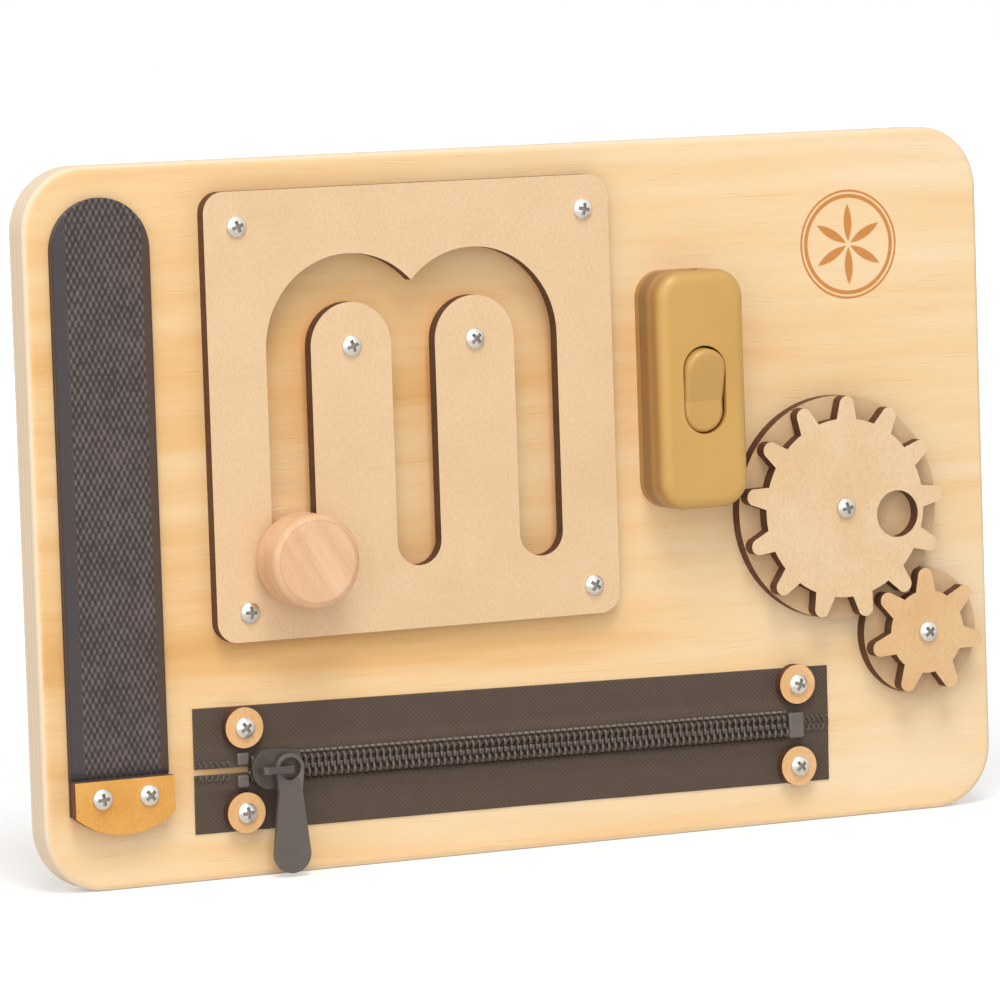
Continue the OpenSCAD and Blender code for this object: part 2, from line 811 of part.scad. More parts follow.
// Outline of the slider seen from the front, nose to the left.
module slider_shape() {
    half = slider_w / 2;
    for (s = [0, 1]) mirror([0, s]) polygon([
        [0, 0], [0, 1.5], [0.5, 2.8], [1.5, 4], [2.9, half - 0.5], [4.4, half],
        [6.4, half], [slider_l - 0.8, half - 0.8], [slider_l, half - 1.5], [slider_l, 0]
    ]);
}

module zip_slider() {
    inner = chain_w / 2 + 0.35;
    post_x = 0.8;
    post_l = 3;
    color("#55504d") on_board() slope_zip() translate([slider_x, zip_z, 0]) {
        translate([0, 0, slider_face - plate_t]) linear_extrude(plate_t) slider_shape();
        // a lip down each side of the teeth
        translate([0, 0, chain_h + 0.4]) linear_extrude(slider_face - plate_t - chain_h - 0.4)
            difference() {
                slider_shape();
                translate([-1, -inner]) square([slider_l + 2, 2 * inner]);
            }
        // the post between the open ends of the row, and the plate behind the tapes
        translate([post_x, -0.55, 0.2]) cube([post_l, 1.1, slider_face - 0.4]);
        translate([0.6, -rise_in + 0.5, 0.2]) cube([slider_l - 1.2, 2 * rise_in - 1, 0.6]);
        // the bridge that the pull hangs from
        rotate([90, 0, 0]) translate([0, 0, -bridge_w / 2]) linear_extrude(bridge_w)
            polygon([
                [1.2, slider_face - 0.4], [3.4, slider_face - 0.4], [3.6, pull_h + pull_t + 0.3],
                [pull_x - 1, pull_h + pull_t + 0.3], [pull_x - 1, slider_face - 0.4],
                [pull_x + 1, slider_face - 0.4], [pull_x + 1, pull_h + pull_t + 0.9],
                [pull_x + 0.2, pull_h + pull_t + bridge_t + 0.3],
                [2.8, pull_h + pull_t + bridge_t + 0.3], [1.6, pull_h + pull_t + 0.9]
            ]);
    }
}

// Pull: a ring round the bridge's rear leg, a neck and a wider round end.
module pull_shape() {
    low = pull_w / 2 - pull_l;
    difference() {
        union() {
            circle(ring_r);
            translate([0, low]) circle(pull_w / 2);
            polygon([
                [-ring_r, 0], [-3.55, -6.5], [-pull_w / 2, low],
                [pull_w / 2, low], [3.55, -6.5], [ring_r, 0]
            ]);
        }
        circle(ring_hole_r);
    }
}

module zip_pull() {
    color("#6a6461") on_board() slope_zip() translate([slider_x + pull_x, zip_z, pull_h])
        rotate([0, 0, zip_tilt]) linear_extrude(pull_t) pull_shape();
}

board();
track_panel();
panel_screws();
knob();
knob_screw();
glide_disc();
switch_base();
switch_cover();
switch_rocker();
rocker_pin();
contact_leaf();
switch_terminals();
cover_screws();
switch_screws();
gear_base();
big_gear();
small_gear();
gear_spacers();
gear_bushes();
gear_screws();
hook_strip();
loop_strap();
strap_tail();
clamp_plate();
clamp_screws();
zip_tape_upper();
zip_tape_lower();
zip_coil_upper();
zip_coil_lower();
zip_top_stops();
zip_bottom_stop();
zip_slider();
zip_pull();
zip_washers();
zip_screws();
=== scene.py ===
# Looks for the wooden busy board: cloth, coil and rounded metal around the CAD
# pieces, and a node-built material on every one of them.
import math

import bmesh
import bpy
import numpy as np
from mathutils import Matrix, Vector


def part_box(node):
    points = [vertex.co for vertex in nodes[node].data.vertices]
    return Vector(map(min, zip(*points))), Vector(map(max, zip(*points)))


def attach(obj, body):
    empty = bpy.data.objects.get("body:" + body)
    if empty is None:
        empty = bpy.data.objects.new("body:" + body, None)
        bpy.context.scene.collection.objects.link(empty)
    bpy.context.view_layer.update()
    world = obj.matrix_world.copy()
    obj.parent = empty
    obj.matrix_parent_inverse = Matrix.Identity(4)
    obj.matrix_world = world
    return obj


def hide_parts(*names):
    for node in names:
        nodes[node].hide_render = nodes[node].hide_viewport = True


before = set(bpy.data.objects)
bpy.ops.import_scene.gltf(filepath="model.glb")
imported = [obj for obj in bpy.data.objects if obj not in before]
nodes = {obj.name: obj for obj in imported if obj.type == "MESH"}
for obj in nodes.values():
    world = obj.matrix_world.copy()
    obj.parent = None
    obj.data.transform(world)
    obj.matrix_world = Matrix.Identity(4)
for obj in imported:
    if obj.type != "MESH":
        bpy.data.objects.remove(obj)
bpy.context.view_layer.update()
mm = 0.001
tau = 2 * math.pi
frontY = -6 * mm  # the board's front face, from which heights are counted


# A mesh from points and faces, at the origin, smooth where faces meet at less
# than the sharp angle.
def makePiece(name, points, faces, sharp=40):
    mesh = bpy.data.meshes.new(name)
    mesh.from_pydata(np.asarray(points, float).reshape(-1, 3).tolist(), [], faces)
    mesh.validate()
    piece = bpy.data.objects.new(name, mesh)
    bpy.context.scene.collection.objects.link(piece)
    smoothOut(piece, sharp)
    return piece


def smoothOut(piece, sharp):
    piece.data.polygons.foreach_set("use_smooth", np.ones(len(piece.data.polygons), bool))
    piece.data.set_sharp_from_angle(angle=math.radians(sharp))


# Rings of points joined one to the next: point (i, j) meets (i + 1, j) and the
# next point round its ring; each end is closed by one flat face.
def skinRings(name, rings, sharp=40):
    rings = np.asarray(rings, float)
    rows, around = rings.shape[:2]
    i, j = np.meshgrid(np.arange(rows - 1), np.arange(around), indexing="ij")
    k = (j + 1) % around
    quads = np.stack([i * around + j, i * around + k, (i + 1) * around + k, (i + 1) * around + j], -1)
    faces = quads.reshape(-1, 4).tolist()
    faces.append(list(range(around))[::-1])
    faces.append([(rows - 1) * around + a for a in range(around)])
    piece = makePiece(name, rings, faces, sharp)
    turnOutwards(piece)
    return piece


def turnOutwards(piece):
    bm = bmesh.new()
    bm.from_mesh(piece.data)
    bmesh.ops.recalc_face_normals(bm, faces=bm.faces)
    bm.to_mesh(piece.data)
    bm.free()


# A copy of a CAD node with its edges rounded, which then stands for the node.
def soften(name, node, body, slot, material, width, segments=4, limit=35):
    bm = bmesh.new()
    bm.from_mesh(nodes[node].data)
    bmesh.ops.remove_doubles(bm, verts=bm.verts, dist=0.002 * mm)
    bmesh.ops.dissolve_limit(bm, angle_limit=math.radians(1), verts=bm.verts, edges=bm.edges)
    mesh = bpy.data.meshes.new(name)
    bm.to_mesh(mesh)
    bm.free()
    mesh.materials.clear()
    mesh.materials.append(material)
    piece = bpy.data.objects.new(name, mesh)
    bpy.context.scene.collection.objects.link(piece)
    bevel = piece.modifiers.new("roundEdges", "BEVEL")
    bevel.width, bevel.segments = width, segments
    bevel.limit_method, bevel.angle_limit = "ANGLE", math.radians(limit)
    smoothOut(piece, 30)
    settle(piece, body, slot, node)


def settle(piece, body, slot, *replaced):
    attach(piece, body)
    if replaced:
        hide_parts(*replaced)


# A smooth step: 0 up to 0, 1 from 1 on.
def ease(share):
    share = np.clip(share, 0, 1)
    return share * share * (3 - 2 * share)


# How far a quarter round has fallen, at a distance in from its outline.
def roundFall(inset, radius):
    inset = np.clip(inset, 0, radius)
    return radius - np.sqrt(radius ** 2 - (radius - inset) ** 2)


# sRGB values from 0 to 255, as a linear colour.
def paint(r, g, b):
    def line(c):
        c /= 255
        return c / 12.92 if c <= 0.04045 else ((c + 0.055) / 1.055) ** 2.4
    return (line(r), line(g), line(b), 1.0)


def fill(tree, socket, value):
    if isinstance(value, bpy.types.NodeSocket):
        tree.links.new(value, socket)
    else:
        socket.default_value = value


# Adds a node, gives its sockets values or links, and returns one output.
def add(tree, kind, sockets=None, out=0, **settings):
    n = tree.nodes.new("ShaderNode" + kind)
    for key, value in settings.items():
        setattr(n, key, value)
    for key, value in (sockets or {}).items():
        fill(tree, n.inputs[key], value)
    return n.outputs[out]


def calc(tree, operation, a, b=0.0):
    return add(tree, "Math", {0: a, 1: b}, operation=operation)


def plus(tree, total, *others):
    for other in others:
        total = calc(tree, "ADD", total, other)
    return total


def times(tree, product, *others):
    for other in others:
        product = calc(tree, "MULTIPLY", product, other)
    return product


def minus(tree, a, b):
    return calc(tree, "SUBTRACT", a, b)


def greater(tree, a, b):
    return calc(tree, "MAXIMUM", a, b)


# How far apart two values are.
def apart(tree, a, b):
    return calc(tree, "ABSOLUTE", minus(tree, a, b))


# The distance from the middle, from its two sides.
def reach(tree, a, b):
    return calc(tree, "SQRT", plus(tree, times(tree, a, a), times(tree, b, b)))


# The cosine or sine of value, with a whole wave to each length.
def wave(tree, operation, value, length):
    return calc(tree, operation, times(tree, value, tau / length))


# Goes smoothly from 0 to 1 as value goes from low to high.
def rise(tree, value, low, high):
    return add(tree, "MapRange", {"Value": value, "From Min": low, "From Max": high},
               interpolation_type="SMOOTHSTEP")


# Goes straight from first to last as value goes from low to high.
def spread(tree, value, first, last, low=0.0, high=1.0):
    return add(tree, "MapRange", {"Value": value, "From Min": low, "From Max": high,
                                  "To Min": first, "To Max": last})


def blendColors(tree, mask, first, second):
    n = tree.nodes.new("ShaderNodeMix")
    n.data_type = "RGBA"
    for socket, value in ((n.inputs[0], mask), (n.inputs[6], first), (n.inputs[7], second)):
        fill(tree, socket, value)
    return n.outputs[2]


def ramp(tree, value, *stops):
    n = tree.nodes.new("ShaderNodeValToRGB")
    tree.links.new(value, n.inputs[0])
    while len(n.color_ramp.elements) < len(stops):
        n.color_ramp.elements.new(0.5)
    for element, (place, color) in zip(n.color_ramp.elements, stops):
        element.position, element.color = place, color
    return n.outputs[0]


# Object coordinates, scaled along each axis and turned.
def stretched(tree, vector, scale, turn=(0, 0, 0)):
    return add(tree, "Mapping", {"Vector": vector, "Scale": scale, "Rotation": turn})


# Scale is in 1/m.
def noise(tree, vector, scale, detail=3.0, rough=0.55):
    return add(tree, "TexNoise", {"Vector": vector, "Scale": scale, "Detail": detail, "Roughness": rough})


def axes(tree, vector):
    n = tree.nodes.new("ShaderNodeSeparateXYZ")
    tree.links.new(vector, n.inputs[0])
    return n.outputs


floatIn, vectorIn = "NodeSocketFloat", "NodeSocketVector"


# A shader group that takes a vector, if it says so, and numbers with their
# usual values, and puts out numbers.
def newGroup(name, numbers, outputs, takesVector=True):
    tree = bpy.data.node_groups.new(name, "ShaderNodeTree")
    if takesVector:
        tree.interface.new_socket("Vector", in_out="INPUT", socket_type=vectorIn)
    for label, value in numbers.items():
        socket = tree.interface.new_socket(label, in_out="INPUT", socket_type=floatIn)
        socket.default_value = value
    for label in outputs:
        tree.interface.new_socket(label, in_out="OUTPUT", socket_type=floatIn)
    return tree, tree.nodes.new("NodeGroupInput").outputs, tree.nodes.new("NodeGroupOutput").inputs


def useGroup(tree, group, **sockets):
    n = tree.nodes.new("ShaderNodeGroup")
    n.node_tree = group
    for key, value in sockets.items():
        fill(tree, n.inputs[key], value)
    return n.outputs


# Wood: broad bands, fine streaks and short pores, all drawn out along X.
def makeGrain():
    tree, given, result = newGroup("woodGrain", {"Band": 22.0, "Streak": 420.0, "Wander": 0.012},
                                   ("Bands", "Streaks", "Pores"))
    bend = noise(tree, stretched(tree, given["Vector"], (3, 9, 9)), 1.0, 2)
    bend = times(tree, minus(tree, bend, 0.5), given["Wander"])
    aside = add(tree, "CombineXYZ", {"Z": bend, "Y": bend})
    bent = add(tree, "VectorMath", {0: given["Vector"], 1: aside}, operation="ADD")
    bands = noise(tree, stretched(tree, bent, (0.09, 1, 1)), given["Band"], 3, 0.5)
    streaks = noise(tree, stretched(tree, bent, (0.025, 1, 1)), given["Streak"], 3, 0.6)
    poreScale = times(tree, given["Streak"], 3.0)
    pores = noise(tree, stretched(tree, bent, (0.05, 1, 1)), poreScale, 1, 0.5)
    tree.links.new(bands, result["Bands"])
    tree.links.new(streaks, result["Streaks"])
    tree.links.new(rise(tree, pores, 0.62, 0.72), result["Pores"])
    return tree


# Cut sheet: 1 on the walls that a cutter made, and 0 on faces that look along Y.
def makeCut():
    tree, given, result = newGroup("cutWall", {"Low": 0.6, "High": 0.9}, ("Wall",), takesVector=False)
    alongY = calc(tree, "ABSOLUTE", axes(tree, add(tree, "NewGeometry", out="Normal"))[1])
    tree.links.new(spread(tree, alongY, 1.0, 0.0, given["Low"], given["High"]), result["Wall"])
    return tree


# Pressed fibre: fine flecks, soft clouds and a fine height.
def makeFibre():
    tree, given, result = newGroup("pressedFibre", {"Fleck": 1500.0}, ("Flecks", "Clouds", "Height"))
    fine = noise(tree, stretched(tree, given["Vector"], (1, 1, 0.55)), given["Fleck"], 3, 0.7)
    clouds = noise(tree, given["Vector"], 55.0, 3, 0.6)
    hairs = noise(tree, stretched(tree, given["Vector"], (0.25, 1, 1), (0, 0.6, 0)), given["Fleck"], 1, 0.5)
    height = plus(tree, fine, times(tree, rise(tree, hairs, 0.6, 0.75), 0.35))
    tree.links.new(rise(tree, fine, 0.3, 0.7), result["Flecks"])
    tree.links.new(clouds, result["Clouds"])
    tree.links.new(height, result["Height"])
    return tree


# Handling marks: sparse smudges and fine scratches, as masks.
def makeWear():
    tree, given, result = newGroup("handling", {"Amount": 1.0}, ("Smudge", "Scratch"))
    smudge = rise(tree, noise(tree, given["Vector"], 38.0, 4, 0.6), 0.48, 0.72)
    drawn = stretched(tree, given["Vector"], (1, 1, 14), (0, 0.5, 0))
    scratch = rise(tree, noise(tree, drawn, 190.0, 2, 0.6), 0.66, 0.74)
    tree.links.new(times(tree, smudge, given["Amount"]), result["Smudge"])
    tree.links.new(times(tree, scratch, given["Amount"]), result["Scratch"])
    return tree


grainGroup, cutGroup, fibreGroup, wearGroup = makeGrain(), makeCut(), makeFibre(), makeWear()


# A material with its tree, its Principled shader and Object coordinates.
def startMaterial(name, **shaderValues):
    material = bpy.data.materials.new(name)
    material.use_nodes = True
    tree = material.node_tree
    shader = tree.nodes["Principled BSDF"]
    for key, value in shaderValues.items():
        shader.inputs[key.replace("_", " ")].default_value = value
    place = add(tree, "TexCoord", out="Object")
    return material, tree, shader, place


# Colour, roughness where it varies, and height as a bump of a depth in metres.
def finishMaterial(tree, shader, color, roughness, height, depth, strength):
    tree.links.new(color, shader.inputs["Base Color"])
    if roughness is not None:
        tree.links.new(roughness, shader.inputs["Roughness"])
    bump = add(tree, "Bump", {"Strength": strength, "Distance": depth, "Height": height})
    tree.links.new(bump, shader.inputs["Normal"])


shot = {"place": (-0.7913, -1.6169, 0.2509), "yaw": -25.92, "pitch": 4.81, "roll": -1.88, "lens": 228.7,
        "sensor": 36}


# The camera's right, down and forward directions: the board's axes turned by
# yaw about the upright, then pitch about the level, then roll.
def cameraTurn(yaw, pitch, roll):
    cy, sy = math.cos(math.radians(yaw)), math.sin(math.radians(yaw))
    cp, sp = math.cos(math.radians(pitch)), math.sin(math.radians(pitch))
    cr, sr = math.cos(math.radians(roll)), math.sin(math.radians(roll))
    base = np.array([[1, 0, 0], [0, 0, -1], [0, 1, 0]])
    about = np.array([[cy, 0, sy], [0, 1, 0], [-sy, 0, cy]])
    tilt = np.array([[1, 0, 0], [0, cp, -sp], [0, sp, cp]])
    level = np.array([[cr, -sr, 0], [sr, cr, 0], [0, 0, 1]])
    return level @ tilt @ about @ base


def placeCamera():
    right, down, forward = cameraTurn(shot["yaw"], shot["pitch"], shot["roll"])
    data = bpy.data.cameras.new("photoCamera")
    data.lens, data.sensor_width, data.sensor_fit = shot["lens"], shot["sensor"], "HORIZONTAL"
    data.clip_start, data.clip_end = 0.05, 50
    camera = bpy.data.objects.new("photoCamera", data)
    bpy.context.scene.collection.objects.link(camera)
    turn = Matrix([list(right), list(-down), list(-forward)]).transposed()
    camera.matrix_world = Matrix.Translation(shot["place"]) @ turn.to_4x4()
    bpy.context.scene.camera = camera


studio = {
    "lamps": {
        "key": {"from": (-0.45, -1.35, 2.35), "size": 1.1, "watts": 31, "color": (1.0, 0.99, 0.97)},
        "front": {"from": (-0.95, -2.45, 1.0), "size": 2.4, "watts": 19.5, "color": (1.0, 1.0, 1.0)},
        "left": {"from": (-2.0, -1.2, 0.9), "size": 1.8, "watts": 8, "color": (1.0, 0.99, 0.98)},
    },
    "worldStrength": 0.37, "target": (0, 0, 0.09),
}


def lightStage():
    for name, lamp in studio["lamps"].items():
        data = bpy.data.lights.new(name + "Light", "AREA")
        data.shape, data.size = "SQUARE", lamp["size"]
        data.energy, data.color = lamp["watts"], lamp["color"]
        light = bpy.data.objects.new(name + "Light", data)
        bpy.context.scene.collection.objects.link(light)
        light.location = lamp["from"]
        aim = Vector(studio["target"]) - Vector(lamp["from"])
        light.rotation_euler = aim.to_track_quat("-Z", "Y").to_euler()
    world = bpy.data.worlds.new("whiteRoom")
    bpy.context.scene.world = world
    world.use_nodes = True
    tree = world.node_tree
    background = tree.nodes["Background"]
    background.inputs["Color"].default_value = (1, 1, 1, 1)
    rays = tree.nodes.new("ShaderNodeLightPath").outputs
    seen = greater(tree, rays["Is Camera Ray"], rays["Is Glossy Ray"])
    seen = greater(tree, seen, rays["Is Transmission Ray"])
    tree.links.new(spread(tree, seen, studio["worldStrength"], 1.0), background.inputs["Strength"])
    bpy.context.scene.view_settings.view_transform = "Standard"


ground = {"side": 14.0, "grey": 0.86, "glow": 0.36, "glowFrom": 0.3, "glowTo": 1.4}


# A wide floor: white, with the object's shadow left on it. What it adds for the
# camera grows with the distance from the board.
def layFloor():
    s = ground["side"]
    floor = makePiece("floor", [(-s, -s, 0), (s, -s, 0), (s, s, 0), (-s, s, 0)], [(0, 1, 2, 3)])
    material, tree, shader, place = startMaterial("paleFloor", Roughness=0.9, Specular_IOR_Level=0.1)
    shader.inputs["Base Color"].default_value = (ground["grey"],) * 3 + (1,)
    shader.inputs["Emission Color"].default_value = (1, 1, 1, 1)
    far = add(tree, "VectorMath", {0: place}, operation="LENGTH", out=1)
    glow = spread(tree, far, ground["glow"], 1.0, ground["glowFrom"], ground["glowTo"])
    seen = add(tree, "LightPath", out="Is Camera Ray")
    tree.links.new(times(tree, seen, glow), shader.inputs["Emission Strength"])
    floor.data.materials.append(material)


placeCamera()
lightStage()
layFloor()
print("camera, light and floor are set")


plywood = {
    "pale": paint(254, 227, 187), "mid": paint(251, 213, 161), "warm": paint(243, 195, 131),
    "deep": paint(228, 170, 98), "pore": paint(176, 120, 66), "burnt": paint(206, 124, 24),
    "edgePale": paint(255, 233, 202), "edgeDark": paint(251, 224, 190), "glue": paint(238, 206, 168),
    "bands": 0.62, "narrowBands": 0.42, "streaks": 0.12,
    "rightPaintedLight": 0.16, "topPaler": 0.05, "footPaler": 0.1,
    "heart": 60 * mm, "heartWide": 13 * mm, "heartSlope": 0.03, "heartWarmer": 0.21,
    "plies": 9, "thick": 12 * mm,
    "rosette": (106.5 * mm, 167.0 * mm), "rosetteRadius": 12.5 * mm, "line": 0.7 * mm,
}


# A rosette of six petals: the plane is folded into one sixth, where a petal is
# what two circles share, and two rings go round them all.
def rosetteMask(tree, x, z):
    radius, line = plywood["rosetteRadius"], plywood["line"]
    dx, dz = minus(tree, x, plywood["rosette"][0]), minus(tree, z, plywood["rosette"][1])
    r = reach(tree, dx, dz)
    angle = plus(tree, calc(tree, "ARCTAN2", dx, dz), tau + math.pi / 6)
    folded = minus(tree, calc(tree, "MODULO", angle, math.pi / 3), math.pi / 6)
    along = times(tree, r, calc(tree, "COSINE", folded))
    across = times(tree, r, calc(tree, "SINE", folded))
    far = 0.0
    for side in (1, -1):
        off = minus(tree, across, side * radius * math.sqrt(3) / 2)
        far = greater(tree, far, reach(tree, minus(tree, along, radius / 2), off))
    petal = rise(tree, far, radius * 0.985, radius * 0.955)
    ring = rise(tree, apart(tree, r, radius * 1.12), line, line * 0.6)
    outerRing = rise(tree, apart(tree, r, radius * 1.24), line * 0.6, line * 0.3)
    return greater(tree, petal, greater(tree, ring, outerRing))


# How warm the face is: broad and narrow bands and streaks, painted light that makes it paler to the right
# (painted shade on its left), paler at the top and at the foot, and warmer along the heart of the log.
def plywoodTone(tree, x, z, grain, narrow):
    heart = apart(tree, plus(tree, z, times(tree, x, plywood["heartSlope"])), plywood["heart"])
    heart = times(tree, rise(tree, heart, plywood["heartWide"], 0), rise(tree, x, 0.1, 0.0))
    return plus(tree, times(tree, grain["Bands"], plywood["bands"]),
                times(tree, narrow["Bands"], plywood["narrowBands"]),
                times(tree, grain["Streaks"], plywood["streaks"]),
                # painted light: paler towards the right, with painted shade on the left
                times(tree, rise(tree, x, -0.10, 0.15), -plywood["rightPaintedLight"]),
                times(tree, rise(tree, z, 0.14, 0.2), -plywood["topPaler"]),
                times(tree, heart, plywood["heartWarmer"]),
                times(tree, rise(tree, z, 0.03, 0.01), -plywood["footPaler"]))


# The sheet's edge: every other ply shows its end grain, with glue between them.
def plywoodEdge(tree, place, y):
    layer = times(tree, plus(tree, y, plywood["thick"] / 2), plywood["plies"] / plywood["thick"])
    parity = calc(tree, "MODULO", plus(tree, layer, 20.0), 2.0)
    stripe = rise(tree, apart(tree, parity, 1.0), 0.42, 0.58)
    ends = noise(tree, stretched(tree, place, (1, 0.2, 1)), 900.0, 2)
    stripe = plus(tree, times(tree, stripe, 0.65), times(tree, ends, 0.35))
    glue = rise(tree, apart(tree, calc(tree, "FRACT", layer), 0.5), 0.44, 0.49)
    side = blendColors(tree, stripe, plywood["edgePale"], plywood["edgeDark"])
    return blendColors(tree, times(tree, glue, 0.4), side, plywood["glue"])


def plywoodMaterial(name, withRosette=True):
    material, tree, shader, place = startMaterial(name, Roughness=0.5, Specular_IOR_Level=0.35)
    x, y, z = axes(tree, place)
    grain = useGroup(tree, grainGroup, Vector=place, Band=26.0, Streak=430.0, Wander=0.03)
    narrow = useGroup(tree, grainGroup, Vector=place, Band=120.0, Streak=900.0, Wander=0.02)
    face = ramp(tree, plywoodTone(tree, x, z, grain, narrow), (0.32, plywood["pale"]),
                (0.50, plywood["mid"]), (0.66, plywood["warm"]), (0.86, plywood["deep"]))
    face = blendColors(tree, times(tree, grain["Pores"], 0.03), face, plywood["pore"])
    wall = useGroup(tree, cutGroup, Low=0.72, High=0.93)["Wall"]
    color = blendColors(tree, wall, face, plywoodEdge(tree, place, y))
    height = plus(tree, times(tree, grain["Streaks"], 0.5), times(tree, grain["Pores"], -0.6))
    rough = plus(tree, times(tree, grain["Streaks"], 0.16), 0.44)
    if withRosette:
        onFront = rise(tree, y, -4 * mm, -5.5 * mm)
        mark = times(tree, rosetteMask(tree, x, z), onFront)
        uneven = spread(tree, noise(tree, place, 1900.0, 3, 0.7), 0.72, 1.0)
        color = blendColors(tree, times(tree, mark, uneven), color, plywood["burnt"])
        height = minus(tree, height, times(tree, mark, 1.2))
    finishMaterial(tree, shader, color, rough, height, 0.09 * mm, 0.8)
    return material


fibreboard = {"wall": paint(74, 46, 33), "wallPale": paint(112, 76, 52), "fleck": paint(150, 108, 70)}


# Laser-cut fibreboard: a flecked face and a burnt wall with fine upright marks.
def fibreMaterial(name, face, dark, wall=None, mottle=0.14):
    material, tree, shader, place = startMaterial(name, Roughness=0.62, Specular_IOR_Level=0.3)
    fibre = useGroup(tree, fibreGroup, Vector=place, Fleck=1500.0)
    color = blendColors(tree, rise(tree, fibre["Clouds"], 0.3, 0.75), face, dark)
    color = blendColors(tree, times(tree, fibre["Flecks"], mottle), color, fibreboard["fleck"])
    marks = noise(tree, stretched(tree, place, (1, 0.06, 1)), 1100.0, 2, 0.6)
    burnt = blendColors(tree, marks, wall or fibreboard["wall"], fibreboard["wallPale"])
    color = blendColors(tree, useGroup(tree, cutGroup, Low=0.5, High=0.8)["Wall"], color, burnt)
    rough = plus(tree, times(tree, fibre["Flecks"], 0.14), 0.54)
    finishMaterial(tree, shader, color, rough, fibre["Height"], 0.05 * mm, 0.7)
    return material


beech = {
    "pale": paint(244, 205, 166), "warm": paint(229, 177, 134), "fleck": paint(196, 138, 96),
    "turn": math.radians(-58), "centre": (-74.0 * mm, 88.5 * mm), "line": 11.5 * mm,
}


# Turned beech: grain that runs down to the right across the knob, and a fine
# line of painted shade near the rim, where the round-over begins.
def beechMaterial():
    material, tree, shader, place = startMaterial("beech", Roughness=0.46, Specular_IOR_Level=0.4)
    turned = stretched(tree, place, (1, 1, 1), (0, beech["turn"], 0))
    grain = useGroup(tree, grainGroup, Vector=turned, Band=150.0, Streak=700.0, Wander=0.01)
    tone = plus(tree, times(tree, grain["Bands"], 0.75), times(tree, grain["Streaks"], 0.3))
    color = ramp(tree, tone, (0.36, beech["pale"]), (0.72, beech["warm"]))
    rays = noise(tree, stretched(tree, turned, (0.22, 1, 1)), 1500.0, 1, 0.5)
    flecks = rise(tree, rays, 0.63, 0.70)
    color = blendColors(tree, times(tree, flecks, 0.18), color, beech["fleck"])
    x, y, z = axes(tree, place)
    out = reach(tree, minus(tree, x, beech["centre"][0]), minus(tree, z, beech["centre"][1]))
    # painted shade: a darker line where the round-over begins
    ring = rise(tree, apart(tree, out, beech["line"]), 0.5 * mm, 0.1 * mm)
    color = blendColors(tree, times(tree, ring, 0.3), color, beech["fleck"])
    rough = plus(tree, times(tree, grain["Streaks"], 0.14), 0.4)
    finishMaterial(tree, shader, color, rough, minus(tree, grain["Streaks"], flecks), 0.05 * mm, 0.6)
    return material


# Heights count down from a head's top: where the cross's walls end, and where
# its floor starts and ends.
steel = {
    "paintedRecessShade": paint(172, 166, 160), "rim": paint(176, 168, 156), "dull": paint(222, 216, 206),
    "wallEnds": (1.06 * mm, 1.0 * mm), "floorStarts": (1.08 * mm, 1.12 * mm),
    "floorEnds": (1.3 * mm, 1.25 * mm),
}


# Plated steel. Where a head's top is given, what lies deeper inside the head,
# the upright walls and the floor of its cross, gets painted shade.
def steelMaterial(name, tint, rough, top=None):
    material, tree, shader, place = startMaterial(name, Metallic=0.9)
    wear = useGroup(tree, wearGroup, Vector=place, Amount=1.0)
    fine = noise(tree, place, 2600.0, 3, 0.7)
    tone = blendColors(tree, times(tree, fine, 0.5), tint, steel["dull"])
    tone = blendColors(tree, times(tree, wear["Smudge"], 0.3), tone, steel["rim"])
    roughness = plus(tree, times(tree, fine, 0.16), rough)
    if top is not None:
        upright = useGroup(tree, cutGroup, Low=0.35, High=0.6)["Wall"]
        depth = plus(tree, axes(tree, place)[1], top - frontY)
        wall = times(tree, upright, rise(tree, depth, *steel["wallEnds"]))
        floor = times(tree, rise(tree, depth, *steel["floorStarts"]), rise(tree, depth, *steel["floorEnds"]))
        # painted shade in the cross recess of the head
        paintedHoleShade = greater(tree, wall, times(tree, floor, minus(tree, 1.0, upright)))
        tone = blendColors(tree, paintedHoleShade, tone, steel["paintedRecessShade"])
        roughness = plus(tree, roughness, times(tree, paintedHoleShade, 0.3))
    finishMaterial(tree, shader, tone, roughness, fine, 0.02 * mm, 0.4)
    return material


# The switch's walls by share of its height: soft bands of painted reflection and
# shade, and a dark line where plate and cover meet.
switchWallShading = {
    "high": 15 * mm,
    "bands": ((0.0, (186, 142, 80)), (0.16, (176, 132, 74)), (0.2, (138, 100, 54)), (0.25, (152, 111, 60)),
              (0.42, (150, 108, 56)), (0.58, (184, 140, 78)), (0.72, (172, 128, 69)), (1.0, (208, 162, 90))),
}


# Moulded plastic, with painted reflection and shade by height on its walls where they are given.
def plasticMaterial(name, tint, deep, rough=0.3, wallShading=None):
    material, tree, shader, place = startMaterial(name, Specular_IOR_Level=0.5, Coat_Weight=0.15,
                                                  Coat_Roughness=0.2)
    wear = useGroup(tree, wearGroup, Vector=place, Amount=1.0)
    peel = noise(tree, place, 900.0, 2, 0.5)
    color = blendColors(tree, rise(tree, noise(tree, place, 30.0, 2), 0.3, 0.7), tint, deep)
    if wallShading is not None:
        # painted reflection and shade on the walls, in bands by height
        upright = useGroup(tree, cutGroup, Low=0.3, High=0.85)["Wall"]
        high = times(tree, minus(tree, axes(tree, place)[1], frontY), -1 / wallShading["high"])
        bands = ramp(tree, high, *((share, paint(*tone)) for share, tone in wallShading["bands"]))
        color = blendColors(tree, upright, color, bands)
    roughness = plus(tree, times(tree, wear["Smudge"], 0.12), rough, times(tree, peel, 0.06))
    height = minus(tree, peel, times(tree, wear["Scratch"], 0.3))
    finishMaterial(tree, shader, color, roughness, height, 0.01 * mm, 0.2)
    return material


